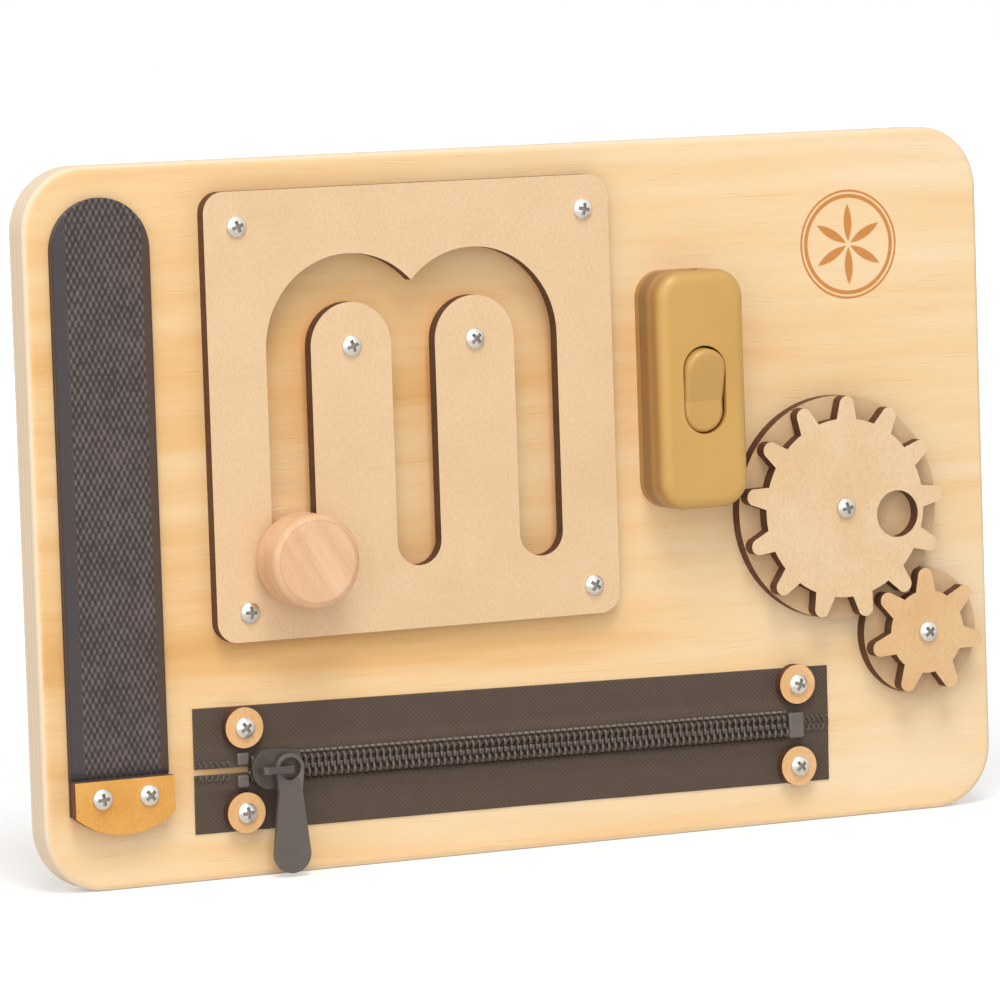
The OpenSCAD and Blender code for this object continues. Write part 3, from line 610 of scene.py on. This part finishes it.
# Enamelled metal with a faint orange peel and edges rubbed a little lighter.
def enamelMaterial(name, tint, rubbed):
    material, tree, shader, place = startMaterial(name, Metallic=0.25, Specular_IOR_Level=0.5)
    wear = useGroup(tree, wearGroup, Vector=place, Amount=1.0)
    peel = noise(tree, place, 1600.0, 2, 0.6)
    color = blendColors(tree, times(tree, wear["Smudge"], 0.4), tint, rubbed)
    edge = rise(tree, add(tree, "NewGeometry", out="Pointiness"), 0.51, 0.58)
    color = blendColors(tree, times(tree, edge, 0.5), color, rubbed)
    roughness = plus(tree, times(tree, peel, 0.2), 0.34)
    finishMaterial(tree, shader, color, roughness, peel, 0.03 * mm, 0.4)
    return material


strapCloth = {
    "across": 1.82 * mm, "along": 3.34 * mm, "left": 3.9 * mm, "right": 2.5 * mm, "thread": 0.5 * mm,
    "selvedge": paint(82, 78, 81), "edge": paint(74, 66, 66), "warm": paint(84, 67, 56),
    "rim": paint(78, 58, 46), "fuzz": paint(104, 98, 98), "shade": paint(46, 43, 46),
    "clamped": 31.4 * mm, "scorched": paint(104, 68, 55), "sheenRough": 0.45,
}
loopTones = {
    "pocketShade": paint(60, 51, 49), "ground": paint(81, 71, 68), "loop": paint(116, 104, 100), "sheen": 0.35,
}
hookTones = {
    "pocketShade": paint(36, 32, 33), "ground": paint(50, 46, 47), "loop": paint(92, 88, 88), "sheen": 0.15,
}


# Woven loops: dots where the product of two cosines peaks, painted shade in the pockets between them, and
# plain selvedges.
# Near the clamp the cloth gets painted shade, and a strip under it has a scorched cut.
def strapMaterial(name, box, tones, scorched=False):
    material, tree, shader, place = startMaterial(
        name, Roughness=0.78, Specular_IOR_Level=0.25, Sheen_Weight=tones["sheen"],
        Sheen_Roughness=strapCloth["sheenRough"])
    x, y, z = axes(tree, place)
    fuzz = noise(tree, place, 2400.0, 3, 0.7)
    across = wave(tree, "COSINE", x, strapCloth["across"])
    along = wave(tree, "COSINE", z, strapCloth["along"])
    uneven = times(tree, noise(tree, place, 520.0, 2, 0.6), 0.9)
    uneven = plus(tree, uneven, times(tree, noise(tree, place, 90.0, 3, 0.6), 0.5))
    knit = plus(tree, times(tree, across, along, 0.5), 0.5, minus(tree, uneven, 0.7))
    # painted shade in the pockets between the loops
    woven = ramp(tree, knit, (0.12, tones["pocketShade"]), (0.5, tones["ground"]), (0.92, tones["loop"]))
    left, right = box[0].x + strapCloth["left"], box[1].x - strapCloth["right"]
    inside = times(tree, rise(tree, x, left - 0.2 * mm, left + 0.4 * mm),
                   rise(tree, x, right + 0.2 * mm, right - 0.4 * mm))
    threads = wave(tree, "SINE", z, strapCloth["thread"])
    plain = rise(tree, plus(tree, threads, fuzz), -0.6, 1.8)
    plain = blendColors(tree, plain, strapCloth["edge"], strapCloth["selvedge"])
    plain = blendColors(tree, rise(tree, x, left, right), plain, strapCloth["warm"])
    color = blendColors(tree, inside, plain, woven)
    brim = greater(tree, rise(tree, x, box[0].x + 0.9 * mm, box[0].x + 0.2 * mm),
                   rise(tree, x, box[1].x - 0.9 * mm, box[1].x - 0.2 * mm))
    color = blendColors(tree, times(tree, brim, 0.8), color, strapCloth["rim"])
    color = blendColors(tree, times(tree, rise(tree, fuzz, 0.45, 0.75), 0.2), color, strapCloth["fuzz"])
    clamped = strapCloth["clamped"]
    # painted shade near the clamp
    near = rise(tree, z, clamped + 3.4 * mm, clamped + 0.4 * mm)
    color = blendColors(tree, times(tree, near, 0.75), color, strapCloth["shade"])
    if scorched:
        under = rise(tree, z, clamped + 0.1 * mm, clamped - 0.1 * mm)
        color = blendColors(tree, under, color, strapCloth["scorched"])
    height = plus(tree, times(tree, fuzz, 0.7), times(tree, threads, 0.08), times(tree, knit, inside, 0.9))
    finishMaterial(tree, shader, color, None, height, 0.14 * mm, 0.7)
    return material


zipCloth = {
    "dark": paint(84, 69, 58), "light": paint(97, 81, 69), "fuzz": paint(128, 111, 98), "rib": 13 * mm,
    "line": 1.4 * mm, "thread": 0.5 * mm, "shift": 1.004,
}


# Herringbone: lines along X pushed back and forth by a triangle wave across it.
def tapeMaterial():
    material, tree, shader, place = startMaterial("zipTape", Roughness=0.8, Specular_IOR_Level=0.25,
                                                  Sheen_Weight=0.3, Sheen_Roughness=0.5)
    x, y, z = axes(tree, place)
    zig = calc(tree, "PINGPONG", plus(tree, z, zipCloth["shift"]), zipCloth["rib"])
    line = wave(tree, "SINE", plus(tree, x, zig), zipCloth["line"])
    cross = wave(tree, "SINE", z, zipCloth["thread"])
    fuzz = noise(tree, place, 2600.0, 3, 0.7)
    cloud = spread(tree, noise(tree, place, 240.0, 3, 0.6), 0.3, 1.0, 0.3, 0.7)
    weave = times(tree, rise(tree, line, -0.7, 0.9), cloud)
    color = blendColors(tree, weave, zipCloth["dark"], zipCloth["light"])
    color = blendColors(tree, times(tree, rise(tree, fuzz, 0.5, 0.8), 0.25), color, zipCloth["fuzz"])
    height = plus(tree, times(tree, line, 0.25), times(tree, cross, 0.12), times(tree, fuzz, 0.5))
    finishMaterial(tree, shader, color, None, height, 0.12 * mm, 0.7)
    return material


def coilMaterial():
    material, tree, shader, place = startMaterial("zipCoil", Specular_IOR_Level=0.55)
    wear = useGroup(tree, wearGroup, Vector=place, Amount=1.0)
    fine = noise(tree, place, 1800.0, 2, 0.6)
    color = blendColors(tree, rise(tree, fine, 0.3, 0.8), paint(86, 74, 65), paint(116, 102, 91))
    roughness = plus(tree, times(tree, wear["Smudge"], 0.2), 0.3)
    finishMaterial(tree, shader, color, roughness, fine, 0.02 * mm, 0.4)
    return material


# Twisted thread: fine stripes on the slant.
def threadMaterial(name, tint, deep):
    material, tree, shader, place = startMaterial(name, Roughness=0.75, Specular_IOR_Level=0.3)
    x, y, z = axes(tree, place)
    twist = wave(tree, "SINE", plus(tree, x, z), 0.4 * mm)
    color = blendColors(tree, rise(tree, twist, -0.6, 0.6), deep, tint)
    finishMaterial(tree, shader, color, None, twist, 0.04 * mm, 0.6)
    return material


boardWood = plywoodMaterial("plywood")
discWood = plywoodMaterial("plywoodDisc", withRosette=False)
panelFibre = fibreMaterial("panelFibre", paint(243, 209, 167), paint(238, 203, 160))
gearFibre = fibreMaterial("gearFibre", paint(246, 214, 173), paint(240, 203, 158))
smallFibre = fibreMaterial("smallGearFibre", paint(240, 200, 150), paint(233, 189, 136))
# painted shade: the gear base takes a darker copy of the gear's fibre, for the shade under the gear
shadedBaseFibre = fibreMaterial("gearBaseShadedFibre", paint(232, 196, 152), paint(222, 184, 140))
amberFibre = fibreMaterial("amberFibre", paint(245, 184, 98), paint(232, 164, 76), paint(112, 74, 62), 0.2)
washerFibre = fibreMaterial("washerFibre", paint(248, 202, 148), paint(238, 184, 122), mottle=0.2)
screwSteel = steelMaterial("screwSteel", paint(228, 224, 216), 0.2)
brass = steelMaterial("brass", paint(214, 176, 96), 0.25)
switchPlastic = plasticMaterial("switchPlastic", paint(214, 169, 91), paint(208, 162, 85), wallShading=switchWallShading)
rockerPlastic = plasticMaterial("rockerPlastic", paint(208, 163, 90), paint(203, 158, 86), 0.28)
whiteNylon = plasticMaterial("whiteNylon", paint(232, 228, 218), paint(224, 220, 208), 0.4)
sliderEnamel = enamelMaterial("sliderEnamel", paint(84, 77, 72), paint(122, 112, 104))
pullEnamel = enamelMaterial("pullEnamel", paint(104, 95, 90), paint(140, 130, 122))
tapeLook, coilLook = tapeMaterial(), coilMaterial()
# painted shade: the dark thread fills the coil's groove, and the cord thread also darkens the lower stitches
grooveShadeThread = threadMaterial("grooveShadeThread", paint(58, 45, 37), paint(46, 36, 30))
cordAndStitchShadeThread = threadMaterial("cordAndStitchShadeThread", paint(92, 77, 66), paint(76, 62, 53))
threadLight = threadMaterial("threadLight", paint(160, 148, 136), paint(134, 122, 111))
print("materials are made")


strapForm = {
    "round": 0.45 * mm, "backRound": 0.4, "endInset": 0.05 * mm, "endTurn": math.radians(87.5),
    "crowd": math.radians(77.4), "fade": 0.4 * mm, "dotPower": 0.7, "edgeSink": 0.4, "backStep": 4,
    "tailMore": 0.25 * mm,
}


# A strap: its front follows the woven dots, its sides are rounded and its top
# end is half a circle. Rows go up it, and u from -1 to 1 across it, closer
# together towards its sides.
def weaveStrap(name, node, body, material, rows, columns, relief, dotted=True):
    low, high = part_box(node)
    radius, middle = (high.x - low.x) / 2, (high.x + low.x) / 2
    if node == "strap_tail":
        high.z += strapForm["tailMore"]
        level, half = np.linspace(low.z, high.z, rows), np.full(rows, radius)
    else:
        angle = np.linspace(0, strapForm["endTurn"], max(rows // 6, 12))[1:]
        straight = np.linspace(low.z, high.z - radius, rows)
        level = np.concatenate([straight, high.z - radius + radius * np.sin(angle)])
        half = np.concatenate([np.full(rows, radius), radius * np.cos(angle)])
    u = np.sin(np.linspace(-1, 1, columns) * strapForm["crowd"]) / math.sin(strapForm["crowd"])
    x = middle + half[:, None] * u[None, :]
    z = np.broadcast_to(level[:, None], x.shape)
    fromSide = half[:, None] * (1 - np.abs(u[None, :]))
    fromEnd = np.minimum(level - low.z, high.z - level)[:, None]
    drop = roundFall(np.minimum(fromSide, np.maximum(fromEnd, strapForm["endInset"])), strapForm["round"])
    sunk = np.zeros_like(x)
    if dotted:
        inside = np.clip((x - low.x - strapCloth["left"]) / strapForm["fade"], 0, 1)
        inside = inside * np.clip((high.x - strapCloth["right"] - x) / strapForm["fade"], 0, 1)
        dots = np.cos(x * tau / strapCloth["across"]) * np.cos(z * tau / strapCloth["along"])
        dots = np.clip(dots, 0, 1) ** strapForm["dotPower"]
        sunk = relief * (inside * (1 - dots) + (1 - inside) * strapForm["edgeSink"])
    frontRow = np.stack([x, low.y + drop + sunk, z], -1)
    back = slice(None, None, -strapForm["backStep"])
    backRow = np.stack([x, high.y - drop * strapForm["backRound"], z], -1)[:, back]
    piece = skinRings(name, np.concatenate([frontRow, backRow], 1), 50)
    piece.data.materials.append(material)
    settle(piece, body, "webbing", node)
    return piece


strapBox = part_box("loop_strap")
loopLook = strapMaterial("loopCloth", strapBox, loopTones)
hookLook = strapMaterial("hookCloth", strapBox, hookTones, scorched=True)
loopStrap = weaveStrap("loopStrap", "loop_strap", "strap", loopLook, 440, 117, 0.16 * mm)
hookStrip = weaveStrap("hookStrip", "hook_strip", "board", hookLook, 220, 81, 0.1 * mm)
strapTail = weaveStrap("strapTail", "strap_tail", "board", loopLook, 40, 61, 0.0, dotted=False)


print("strap is woven")


zipForm = {
    "left": -105.51 * mm, "right": 94.99 * mm, "axis": 29.7 * mm, "slope": math.radians(0.55),
    "lift": 1.0 * mm, "thick": 0.5 * mm, "riseIn": 4.7 * mm, "riseOut": 8.2 * mm,
    "flatEnds": 9 * mm, "endShare": 0.15,
    "split": 0.85 * mm, "shutSplit": 0.02 * mm, "shutAt": 83 * mm, "shutOver": 2.5 * mm,
    "outer": 17.08 * mm, "splay": 0.7 * mm, "lowerSplay": 0.25 * mm, "rim": 0.35 * mm,
    "cord": 0.22 * mm, "cordIn": 0.5 * mm, "cordWide": 0.4 * mm,
    "ripple": 0.05 * mm, "rippleLong": 23 * mm, "rippleFrom": 9 * mm,
}


# Board points (x, h, distance from the zipper's axis) to the frame: the whole
# zipper is turned about its middle by its slope.
def slopeZip(x, h, off):
    middle = (zipForm["left"] + zipForm["right"]) / 2
    c, s = math.cos(zipForm["slope"]), math.sin(zipForm["slope"])
    x, off, h = np.broadcast_arrays(x - middle, off, h)
    return np.stack([middle + x * c + off * s, frontY - h, zipForm["axis"] - x * s + off * c], -1)


# How far the tapes rise to the coil: less towards the zipper's two ends.
def tapeLift(x):
    fromEnd = np.minimum(x - zipForm["left"], zipForm["right"] - x)
    return zipForm["lift"] * np.clip(fromEnd / zipForm["flatEnds"], zipForm["endShare"], 1)


# A tape: its section goes flat, up a soft slope and along the coil, with a
# corded inner edge. It is carried along X with a faint ripple, and past the
# bottom stop it closes up to its neighbour.
def weaveTape(name, node, side):
    share = np.concatenate([np.linspace(0, 0.25, 30), np.linspace(0.25, 0.5, 16)[1:],
                            np.linspace(0.5, 1, 32)[1:]])
    x = np.linspace(zipForm["left"], zipForm["right"], 340)[:, None]
    shut = ease((x - zipForm["shutAt"]) / zipForm["shutOver"])
    split = zipForm["split"] + (zipForm["shutSplit"] - zipForm["split"]) * shut
    swing = -x / (zipForm["right"] - zipForm["left"]) * 2
    widen = zipForm["splay"] * swing if side > 0 else zipForm["lowerSplay"] * np.clip(swing, 0, 1)
    outer = zipForm["outer"] + widen
    off = split + (outer - split) * share[None, :]
    base = tapeLift(x) * ease((zipForm["riseOut"] - off) / (zipForm["riseOut"] - zipForm["riseIn"]))
    corded = zipForm["cord"] * np.exp(-((off - split - zipForm["cordIn"]) / zipForm["cordWide"]) ** 2)
    rim = np.clip((outer - off) / zipForm["rim"], 0, 1)
    rimmed = (zipForm["thick"] + corded) * np.sqrt(np.clip(rim * (2 - rim), 0.12, 1))
    ripple = zipForm["ripple"] * np.sin(x * tau / zipForm["rippleLong"]) * (off > zipForm["rippleFrom"])
    front = slopeZip(x, base + rimmed + ripple, side * off)
    back = slopeZip(x, base, side * off)[:, ::-1]
    piece = skinRings(name, np.concatenate([front, back], 1), 50)
    piece.data.materials.append(tapeLook)
    settle(piece, "board", "zip_tape", node)


weaveTape("zipTapeUpper", "zip_tape_upper", 1)
weaveTape("zipTapeLower", "zip_tape_lower", -1)


# A thread or wire: a ring of points at right angles to its path, carried along.
def drawWire(name, path, radius, around, material, slot, *replaced):
    notAlong = [1.0, 0.05, 0.02]
    along = np.gradient(path, axis=0)
    along /= np.linalg.norm(along, axis=1, keepdims=True)
    first = np.cross(along, notAlong)
    first /= np.linalg.norm(first, axis=1, keepdims=True)
    second = np.cross(along, first)
    turn = np.arange(around)[None, :, None] * tau / around
    ring = first[:, None, :] * np.cos(turn) + second[:, None, :] * np.sin(turn)
    rings = path[:, None, :] + ring * np.broadcast_to(radius, len(path))[:, None, None]
    piece = skinRings(name, rings, 80)
    piece.data.materials.append(material)
    settle(piece, "board", slot, *replaced)


coilForm = {
    "pitch": 2.0 * mm, "start": -89.3 * mm, "end": 80.3 * mm, "outer": 2.8 * mm, "inner": -0.42 * mm,
    "low": 1.95 * mm, "high": 3.3 * mm, "flatReach": 0.75, "flatRise": 0.55, "straight": 0.8,
    "wire": 0.5 * mm, "head": 0.1 * mm, "headWide": 0.5 * mm, "perTurn": 22, "around": 7,
    "dip": 0.75 * mm, "dipAt": 1.05 * mm, "dipWide": 0.32 * mm, "under": 0.6 * mm, "underOver": 0.5 * mm,
    "part": 1.35 * mm, "partLong": 6.5 * mm, "partOver": 3 * mm, "most": 3.4 * mm,
}


# Half of the coil: a flattened helix. Its reach follows a cosine and its height
# a sine, both squared off. It moves on by one pitch each turn, mostly along its
# back run. A dip in the front run takes the seam. Where the halves meet the wire
# swells a little, and the lower half's ends sit under the upper half's. At the
# slider the halves part.
def windCoil(name, node, side, phase):
    turns = (coilForm["end"] - coilForm["start"]) / coilForm["pitch"]
    t = np.linspace(0, turns, int(turns * coilForm["perTurn"]))
    c, s = np.cos(tau * (t + phase)), np.sin(tau * (t + phase))
    squared = lambda value, power: np.sign(value) * np.abs(value) ** power
    middle, swing = (coilForm["outer"] + coilForm["inner"]) / 2, (coilForm["outer"] - coilForm["inner"]) / 2
    off = middle + swing * squared(c, coilForm["flatReach"])
    middle, swing = (coilForm["high"] + coilForm["low"]) / 2, (coilForm["high"] - coilForm["low"]) / 2
    high = middle + swing * squared(s, coilForm["flatRise"])
    inFront = s > 0
    dipped = np.exp(-((off - coilForm["dipAt"]) / coilForm["dipWide"]) ** 2)
    high = high - inFront * coilForm["dip"] * dipped
    if side < 0:
        under = np.clip((coilForm["dipAt"] - off) / coilForm["underOver"], 0, 1)
        high = high - inFront * coilForm["under"] * under
    swell = np.exp(-((off - coilForm["inner"]) / coilForm["headWide"]) ** 2)
    radius = coilForm["wire"] + coilForm["head"] * swell
    x = coilForm["start"] + coilForm["pitch"] * (t + coilForm["straight"] / tau * c)
    parted = ease((coilForm["start"] + coilForm["partLong"] - x) / coilForm["partOver"])
    off = np.minimum(off + coilForm["part"] * parted, coilForm["most"])
    drawWire(name, slopeZip(x, high, side * off), radius, coilForm["around"], coilLook, "zip_coil", node)


# For each thread: where it starts after the coil's start, how far off the axis
# and how high it lies, how much it swings in both, and its size.
seams = {
    # a dark thread in the dip: painted shade in the groove
    "zipGrooveShade": {
        "after": 7 * mm, "points": 900, "off": coilForm["dipAt"], "offSwing": 0, "high": 2.86 * mm,
        "highSwing": 0.05 * mm, "radius": 0.27 * mm, "around": 6, "looks": (grooveShadeThread, grooveShadeThread),
    },
    "zipCord": {
        "after": 7 * mm, "points": 900, "off": 2.0 * mm, "offSwing": 0, "high": 2.02 * mm,
        "highSwing": 0.03 * mm, "radius": 0.62 * mm, "around": 10, "looks": (cordAndStitchShadeThread, cordAndStitchShadeThread),
    },
    # the lower half's stitches take the cord thread: painted shade under the coil
    "zipStitch": {
        "after": 2 * mm, "points": 1400, "off": 3.87 * mm, "offSwing": 0.05 * mm, "high": 1.45 * mm,
        "highSwing": 0.7 * mm, "radius": 0.42 * mm, "around": 6, "looks": (threadLight, cordAndStitchShadeThread),
    },
}
tapeEnds = {
    "spans": ((-104.6 * mm, -94.6 * mm), (85.6 * mm, 94.4 * mm)), "off": (1.9 * mm, 1.3 * mm),
    "pitch": 1.7 * mm, "points": 170, "offSwing": 0.75 * mm, "high": 0.72 * mm,
    "highSwing": 0.35 * mm, "radius": 0.3 * mm,
}


# Seams: a cord inside the coil, a dark thread in its dip as painted shade in the
# groove, and a zigzag of stitches beside it, whose lower half takes the darker cord
# thread as painted shade under the coil, all waves along X. Past the stops each tape
# has what is left of its coil, pressed flat.
def sewZip():
    for half, (label, side) in enumerate((("Upper", 1), ("Lower", -1))):
        for name, seam in seams.items():
            x = np.linspace(coilForm["start"] + seam["after"], coilForm["end"], seam["points"])
            swing = np.cos((x - coilForm["start"]) * tau / coilForm["pitch"])
            off = seam["off"] + seam["offSwing"] * swing
            path = slopeZip(x, seam["high"] + seam["highSwing"] * swing, side * off)
            drawWire(name + label, path, seam["radius"], seam["around"], seam["looks"][half], "zip_tape")
        for index, (start, end) in enumerate(tapeEnds["spans"]):
            t = np.linspace(0, (end - start) / tapeEnds["pitch"], tapeEnds["points"])
            x = start + t * tapeEnds["pitch"]
            off = tapeEnds["off"][index] + tapeEnds["offSwing"] * np.cos(t * tau)
            high = tapeLift(x) + tapeEnds["high"] + tapeEnds["highSwing"] * np.sin(t * tau)
            path = slopeZip(x, high, side * off)
            drawWire("zipEnd%s%d" % (label, index), path, tapeEnds["radius"], 6, coilLook, "zip_coil")


windCoil("zipCoilUpper", "zip_coil_upper", 1, 0.0)
windCoil("zipCoilLower", "zip_coil_lower", -1, 0.5)
sewZip()
print("zipper is wound")


soften("zipSlider", "zip_slider", "slider", "zip_metal", sliderEnamel, 0.38 * mm)
soften("zipPull", "zip_pull", "pull", "zip_metal", pullEnamel, 0.42 * mm)
soften("zipTopStops", "zip_top_stops", "board", "zip_metal", pullEnamel, 0.55 * mm)
soften("zipBottomStop", "zip_bottom_stop", "board", "zip_metal", pullEnamel, 0.55 * mm)

rockerForm = {
    "centre": (50.29 * mm, 128.7 * mm), "half": 6.3 * mm, "reach": 5.8 * mm, "round": 1.5 * mm,
    "pivot": 12.2 * mm, "tip": math.radians(7.0), "skirt": 10.4 * mm, "ridge": -2.9 * mm,
    "dip": 14.85 * mm, "upper": 1.35 * mm, "lower": 0.95 * mm, "endTurn": math.radians(86), "steps": 41,
}


# The rocker: sections across a stadium outline, one after the other along it.
# Its top rises both ways from a line below the middle, and falls away within
# the rounding's width of the outline. It is tipped about its pin.
def pressRocker():
    half, straight, ridge = rockerForm["half"], rockerForm["reach"], rockerForm["ridge"]
    steps = rockerForm["steps"]
    turn = np.linspace(0, rockerForm["endTurn"], 22)[1:]
    end, narrow = straight + half * np.sin(turn), half * np.cos(turn)
    along = np.concatenate([-end[::-1], np.linspace(-straight, straight, steps), end])[:, None]
    width = np.concatenate([narrow[::-1], np.full(steps, half), narrow])[:, None]
    across = width * np.sin(np.linspace(-1, 1, steps) * math.pi / 2)[None, :]
    fromSpine = np.hypot(across, np.clip(np.abs(along) - straight, 0, None))
    up = np.clip((along - ridge) / (half + straight - ridge), 0, 1)
    down = np.clip((ridge - along) / (half + straight + ridge), 0, 1)
    top = rockerForm["dip"] + rockerForm["upper"] * np.sin(up * math.pi / 2)
    top = top + rockerForm["lower"] * np.sin(down * math.pi / 2)
    top = top - roundFall(half - fromSpine, rockerForm["round"])
    below = across[:, ::-4]
    x = np.concatenate([across, below], 1)
    h = np.concatenate([top, np.full_like(below, rockerForm["skirt"])], 1) - rockerForm["pivot"]
    z = np.broadcast_to(along, x.shape)
    c, s = math.cos(rockerForm["tip"]), math.sin(rockerForm["tip"])
    points = np.stack([rockerForm["centre"][0] + x, frontY - rockerForm["pivot"] - z * s - h * c,
                       rockerForm["centre"][1] + z * c - h * s], -1)
    piece = skinRings("rockerCap", points, 32)
    piece.data.materials.append(rockerPlastic)
    settle(piece, "rocker", "switch_plastic", "switch_rocker")


pressRocker()
print("metal and plastic are rounded")


# How high the tops of the screws' heads stand above the board, in mm.
heads = {"panel_screws": 5.9, "clamp_screws": 7.3, "gear_screws": 10.5, "zip_screws": 5.4}
for node, top in heads.items():
    look = steelMaterial(node + "_steel", paint(240, 236, 228), 0.28, top * mm)
    soften("rounded_" + node, node, "board", "screws", look, 0.16 * mm, 2, 40)
print("screws are dressed")


# CAD nodes that keep their shape, with the finish of each.
finishes = {
    "board": boardWood, "glide_disc": discWood, "track_panel": panelFibre, "gear_base": shadedBaseFibre,
    "big_gear": gearFibre, "small_gear": smallFibre, "clamp_plate": amberFibre,
    "zip_washers": washerFibre, "knob": beechMaterial(), "knob_screw": screwSteel,
    "cover_screws": screwSteel, "switch_screws": screwSteel, "rocker_pin": screwSteel,
    "gear_bushes": screwSteel, "gear_spacers": whiteNylon, "contact_leaf": brass,
    "switch_terminals": brass, "switch_base": switchPlastic, "switch_cover": switchPlastic,
}
for node, material in finishes.items():
    slots = nodes[node].data.materials
    if len(slots):
        slots[0] = material
    else:
        slots.append(material)
print("finishes are on")
